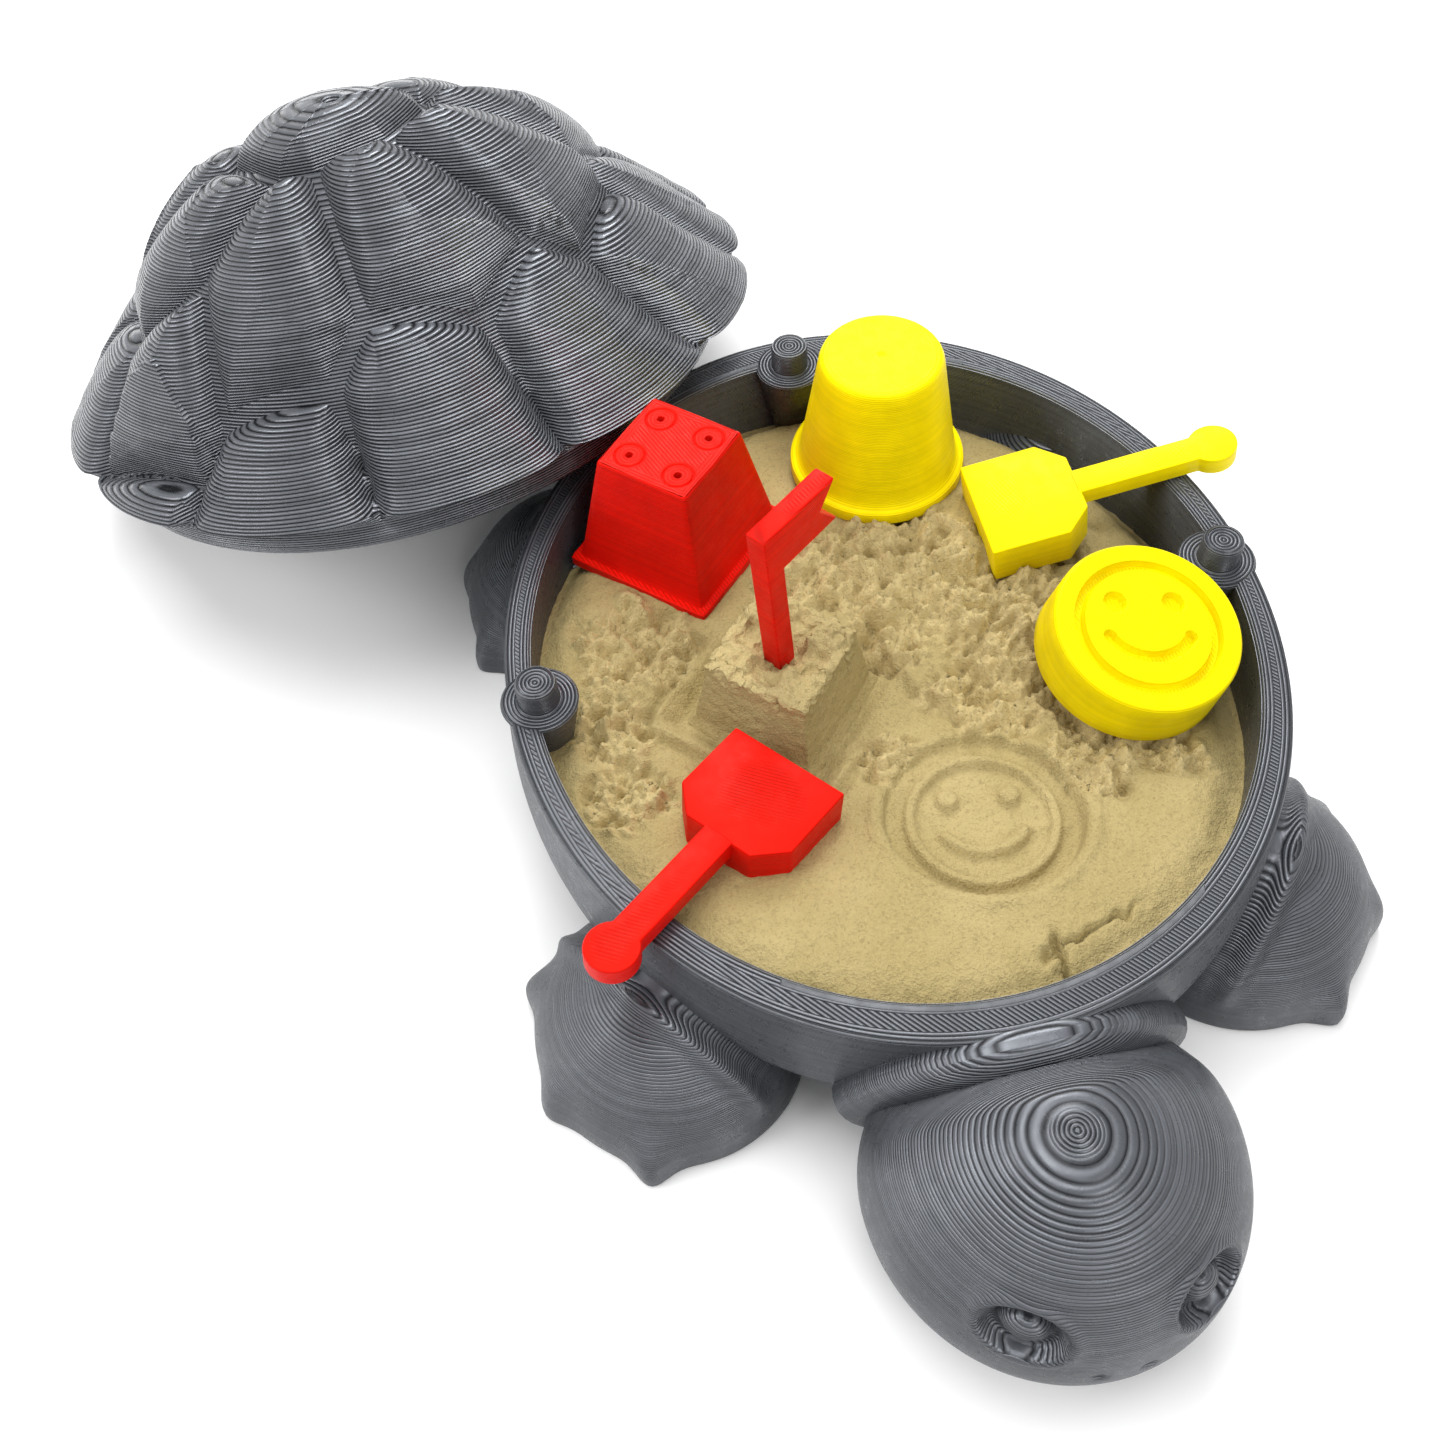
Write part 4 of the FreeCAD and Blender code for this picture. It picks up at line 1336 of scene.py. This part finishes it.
@dataclass
class SmileStamp:
    """Thick round stamp, face up, with a ring, two eyes and a smile sunk in it."""

    centre: tuple[float, float] = (28.1, -9.9)
    face_radius: float = 11.0
    back_radius: float = 11.4
    thickness: float = 7.0
    axis: Vector = field(default_factory=lambda: Vector((0.109, -0.173, 0.979)))
    spin: float = -10.0
    depth: float = 1.1
    ring: float = 8.05
    eyes: tuple[float, float] = (3.45, 3.1)
    smile: float = 5.6
    smile_centre: float = 1.6
    smile_angle: float = 58.0

    def pose(self) -> Matrix:
        """Where the stamp lies, from its CAD box, in millimetres.

        Returns:
            Its turn and place.
        """
        turn = tilted(self.axis, self.spin)
        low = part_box("smiley_stamp")[0][2] / MM
        upright = self.axis.normalized().z
        lean = math.sqrt(1 - upright * upright)
        height = low + self.back_radius * lean + self.thickness * upright
        return Matrix.Translation((self.centre[0], self.centre[1], height)) @ turn.to_4x4()

    def sunk(self, x: float, y: float) -> float:
        """Depth of the marks at a place on the face.

        Args:
            x: Across the face.
            y: Up the face.

        Returns:
            The depth, 0 between the marks.
        """
        deep = smooth(0.62, 0.38, abs(math.hypot(x, y) - self.ring))
        below, end = self.smile_centre - y, math.radians(self.smile_angle)
        for side in (-1, 1):
            eye = math.hypot(x - side * self.eyes[0], y - self.eyes[1])
            tip = math.hypot(x - side * self.smile * math.sin(end),
                             below - self.smile * math.cos(end))
            deep = max(deep, smooth(1.4, 1.1, eye), smooth(0.8, 0.55, tip))
        if abs(math.atan2(x, below)) < end:
            deep = max(deep, smooth(0.7, 0.42, abs(math.hypot(x, below) - self.smile)))
        return self.depth * deep

    def build(self, yellow: Material) -> None:
        """Makes the stamp.

        Args:
            yellow: Its finish.
        """
        face = [0.1 + (self.face_radius - 0.5) * n / 88 for n in range(89)]
        rows = [(r, 0.0) for r in face]
        rows += [(self.face_radius - 0.2, -0.1), (self.face_radius, -0.4)]
        widening = self.back_radius - self.face_radius
        rows += [(self.face_radius + widening * t, -self.thickness * t)
                 for t in (0.25, 0.5, 0.75, 0.95)]
        rows += [(self.back_radius - 0.3, -self.thickness), (0.4, -self.thickness)]
        mesh = bmesh.new()

        def place(step: int, angle: float) -> Vector:
            """Point of the stamp.

            Args:
                step: Number of the ring.
                angle: Angle round the ring, in radians.

            Returns:
                The point.
            """
            radius, z = rows[step]
            x, y = radius * math.cos(angle), radius * math.sin(angle)
            return Vector((x, y, z - self.sunk(x, y) if step < len(face) else z))

        loft_rings(mesh, len(rows), 220, place)
        stamp = Piece("smile_stamp", Body.STAMP, ("smiley_stamp",), "yellow_plastic")
        stamp.finish(mesh, yellow, self.pose(), 60)


@dataclass
class SandShovel:
    """Flat shovel with turned-down blade walls, lying top side up."""

    name: str
    node: str
    body: Body
    slot: str
    edge: Vector
    knob: Vector
    half_width: float = 7.5
    side: float = 9.8
    corner: float = 3.2
    depth: float = 5.5
    skin: float = 1.6
    wall: float = 1.3
    handle_width: float = 3.8
    handle_thickness: float = 2.5
    knob_radius: float = 3.0
    length: float = 30.2

    def build(self, plastic: Material) -> None:
        """Makes the shovel.

        Args:
            plastic: Its finish.
        """
        mesh = bmesh.new()
        self._blade(mesh)
        self._handle(mesh)
        Piece(self.name, self.body, (self.node,), self.slot).finish(mesh, plastic, self.pose(), 28)

    def pose(self) -> Matrix:
        """Where the shovel lies, in millimetres.

        Returns:
            Its turn and place.
        """
        forward = (self.knob - self.edge).normalized()
        across = Vector((0, 0, 1)).cross(forward).normalized()
        turn = Matrix((forward, across, forward.cross(across))).transposed().to_4x4()
        return Matrix.Translation(self.edge) @ turn

    def _outline(self) -> list[Vector]:
        """Blade in plan, its back corners cut off.

        Returns:
            Corners in order.
        """
        half, back = self.half_width, self.side + self.corner
        right = [(0.0, -half), (self.side, -half), (back, self.corner - half)]
        return [Vector((x, y, 0.0)) for x, y in right + [(x, -y) for x, y in right[::-1]]]

    def _blade(self, mesh: Mesh) -> None:
        """Blade with a wall round three sides and its pocket below.

        Args:
            mesh: The mesh.
        """
        top = mesh.faces.new([mesh.verts.new(spot) for spot in self._outline()])
        bottom = only(pull_face(mesh, top, (0, 0, -self.depth)), Face)[0]
        bmesh.ops.inset_region(mesh, faces=[bottom], thickness=self.wall, use_even_offset=True)
        pull_face(mesh, bottom, (0, 0, self.depth - self.skin))
        bmesh.ops.delete(mesh, geom=[bottom], context="FACES_ONLY")
        soften_edges(mesh, 0.28)

    def _handle(self, mesh: Mesh) -> None:
        """Flat handle that runs into a round knob.

        Args:
            mesh: The mesh.
        """
        half, start = self.handle_width / 2, self.side + self.corner - 0.6
        reach = math.sqrt(self.knob_radius ** 2 - half ** 2)
        first = math.atan2(half, -reach)
        spots = [(start, half), (start, -half)]
        for number in range(29):
            angle = -first + 2 * first * number / 28
            spots.append((self.length + self.knob_radius * math.cos(angle),
                          self.knob_radius * math.sin(angle)))
        corners = [mesh.verts.new((x, y, 0.0)) for x, y in spots]
        top = mesh.faces.new(corners)
        bmesh.ops.recalc_face_normals(mesh, faces=[top])
        fresh = only(pull_face(mesh, top, (0, 0, -self.handle_thickness)), Vert)
        edges = {edge for vert in corners + fresh for edge in vert.link_edges}
        soften_edges(mesh, 0.25, 40.0, edges)


@dataclass
class CastleFlag:
    """Square pole with a swallow-tailed pennant."""

    foot: Vector = field(default_factory=lambda: Vector((-13.5, -2.5, 27.3)))
    lean: float = 3.5
    turn: float = 36.0
    side: float = 2.6
    height: float = 20.5
    depth: float = 6.0
    pennant: tuple[float, float] = (8.8, 6.2)
    notch: float = 2.6

    def build(self, red: Material) -> None:
        """Makes the flag.

        Args:
            red: Its finish.
        """
        half, (length, drop) = self.side / 2, self.pennant
        spots = ((-half, -self.depth), (half, -self.depth), (half, self.height - drop),
                 (half + length, self.height - drop),
                 (half + length - self.notch, self.height - drop / 2),
                 (half + length, self.height), (-half, self.height))
        mesh = bmesh.new()
        outline = mesh.faces.new([mesh.verts.new((x, -half, z)) for x, z in spots])
        pull_face(mesh, outline, (0, self.side, 0))
        soften_edges(mesh, 0.22)
        pose = Matrix.Translation(self.foot) @ Matrix.Rotation(math.radians(-self.lean), 4, "Y")
        pose = pose @ Matrix.Rotation(math.radians(self.turn), 4, "Z")
        Piece("castle_flag", Body.FLAG, ("flag",), "red_plastic").finish(mesh, red, pose, 28)


# ---------------------------------------------------------------- studio
@dataclass
class Studio:
    """Camera, soft lights and the pale table."""

    camera_spot: Vector = field(default_factory=lambda: Vector((-33.893, -96.785, 155.708)))
    right: Vector = field(default_factory=lambda: Vector((0.9754, -0.2141, -0.0521)))
    back: Vector = field(default_factory=lambda: Vector((-0.0776, -0.5550, 0.8283)))
    lens: float = 34.88
    surround: float = 0.42

    def build(self) -> None:
        """Sets up the whole studio."""
        self._camera()
        self._lights()
        self._table()

    def _camera(self) -> None:
        """Camera above the turtle's right front flipper."""
        data = bpy.data.cameras.new("studio_camera")
        data.lens, data.sensor_width = self.lens, 36.0
        data.clip_start, data.clip_end = 0.005, 20.0
        camera = add_object("studio_camera", data)
        upward = self.back.cross(self.right).normalized()
        turn = Matrix((self.right.normalized(), upward, self.back.normalized())).transposed()
        camera.matrix_world = Matrix.Translation(self.camera_spot * MM) @ turn.to_4x4()
        bpy.context.scene.camera = camera

    def _lights(self) -> None:
        """Large soft lights and a bright even surround."""
        self._panel("tail_panel", (0.15, 0.6, 0.6), 0.45, 5.0)
        self._panel("right_panel", (-0.65, 0.05, 0.45), 0.4, 2.6)
        self._panel("head_panel", (0.25, -0.6, 0.5), 0.35, 2.2)
        self._panel("top_panel", (-0.05, 0.1, 0.85), 0.5, 4.2)
        world = bpy.data.worlds.new("studio_surround")
        world.use_nodes = True
        light = world.node_tree.nodes["Background"].inputs
        light["Color"].default_value = (1.0, 1.0, 1.0, 1.0)
        light["Strength"].default_value = self.surround
        bpy.context.scene.world = world
        view = bpy.context.scene.view_settings
        view.view_transform, view.look = "Standard", "None"
        view.exposure, view.gamma = 0.0, 1.0

    @staticmethod
    def _panel(name: str, spot: tuple[float, float, float], size: float, power: float) -> None:
        """Square area light aimed at the toy.

        Args:
            name: Its name.
            spot: Where it hangs, in metres.
            size: Side, in metres.
            power: Power, in watts.
        """
        data = bpy.data.lights.new(name, "AREA")
        data.size, data.energy = size, power
        lamp = add_object(name, data)
        lamp.location = spot
        aim = Vector((-0.01, 0.02, 0.01)) - Vector(spot)
        lamp.rotation_euler = aim.to_track_quat("-Z", "Y").to_euler()

    @staticmethod
    def _table() -> None:
        """Wide flat table top just under the toy."""
        mesh = bmesh.new()
        bmesh.ops.create_grid(mesh, x_segments=8, y_segments=8, size=1.5)
        bmesh.ops.translate(mesh, vec=(0, 0, -0.0002), verts=mesh.verts)
        data = bpy.data.meshes.new("table_top")
        mesh.to_mesh(data)
        mesh.free()
        data.materials.append(PaleTable().make())
        table = add_object("table_top", data)


# ---------------------------------------------------------------- whole scene
# Each print's second colour is its groove colour: painted shade for the grooves between layers.
GREY_PRINT = LayeredPrint("silk_grey_print", (0.108, 0.115, 0.129), (0.018, 0.020, 0.024),
                          relief=0.1, roughness=0.3, metallic=0.4, streaks=0.16,
                          top_angle=40.0, marked_tops=True)
# The lid's copy of the grey print has a lighter bead colour and a near-black groove colour: painted
# highlight on the bead faces and painted shade in the grooves, for the same grey plastic as the
# base.
LID_PRINT = replace(GREY_PRINT, colour=(0.165, 0.174, 0.193), groove=(0.006, 0.007, 0.009),
                    layer=0.34, relief=0.24, roughness=0.26, metallic=0.5)
RED_PRINT = LayeredPrint("red_print", (0.74, 0.006, 0.002), (0.50, 0.003, 0.001), relief=0.035,
                         roughness=0.42, streaks=0.06, gloss=0.2, highlight=(1.0, 0.3, 0.2),
                         top_angle=20.0)
YELLOW_PRINT = LayeredPrint("yellow_print", (0.92, 0.76, 0.001), (0.80, 0.62, 0.001), relief=0.03,
                            roughness=0.42, streaks=0.04, gloss=0.2, highlight=(1.0, 0.9, 0.15),
                            top_angle=20.0)


def shovels() -> Iterable[tuple[SandShovel, LayeredPrint]]:
    """The two shovels with their finishes.

    Returns:
        Each shovel and its finish.
    """
    yield SandShovel("red_scoop_shovel", "red_shovel", Body.RED_SHOVEL, "red_plastic",
                     Vector((-15.4, -15.4, 24.3)), Vector((-38.1, -34.3, 27.6))), RED_PRINT
    yield SandShovel("yellow_scoop_shovel", "yellow_shovel", Body.YELLOW_SHOVEL, "yellow_plastic",
                     Vector((16.5, 15.9, 22.9)), Vector((46.7, 14.9, 27.7))), YELLOW_PRINT


def main() -> None:
    """Builds the studio and every piece in order."""
    logging.basicConfig(level=logging.INFO, format="%(name)s: %(message)s")
    Studio().build()
    grey, red, yellow = GREY_PRINT.make(), RED_PRINT.make(), YELLOW_PRINT.make()
    lid = ShellLid()
    lid_grey = LID_PRINT.turned("silk_grey_lid", lid.pose()).make()
    TurtleBase().build(grey)
    lid.build(lid_grey)
    SandFill().build(MouldedSand().make())
    CastleMould().build(red)
    SandBucket().build(yellow)
    stamp = SmileStamp()
    stamp.build(YELLOW_PRINT.turned("yellow_print_stamp", stamp.pose()).make())
    for shovel, finish in shovels():
        shovel.build(finish.turned(shovel.name + "_print", shovel.pose()).make())
    CastleFlag().build(red)


if __name__ == "__main__":
    main()
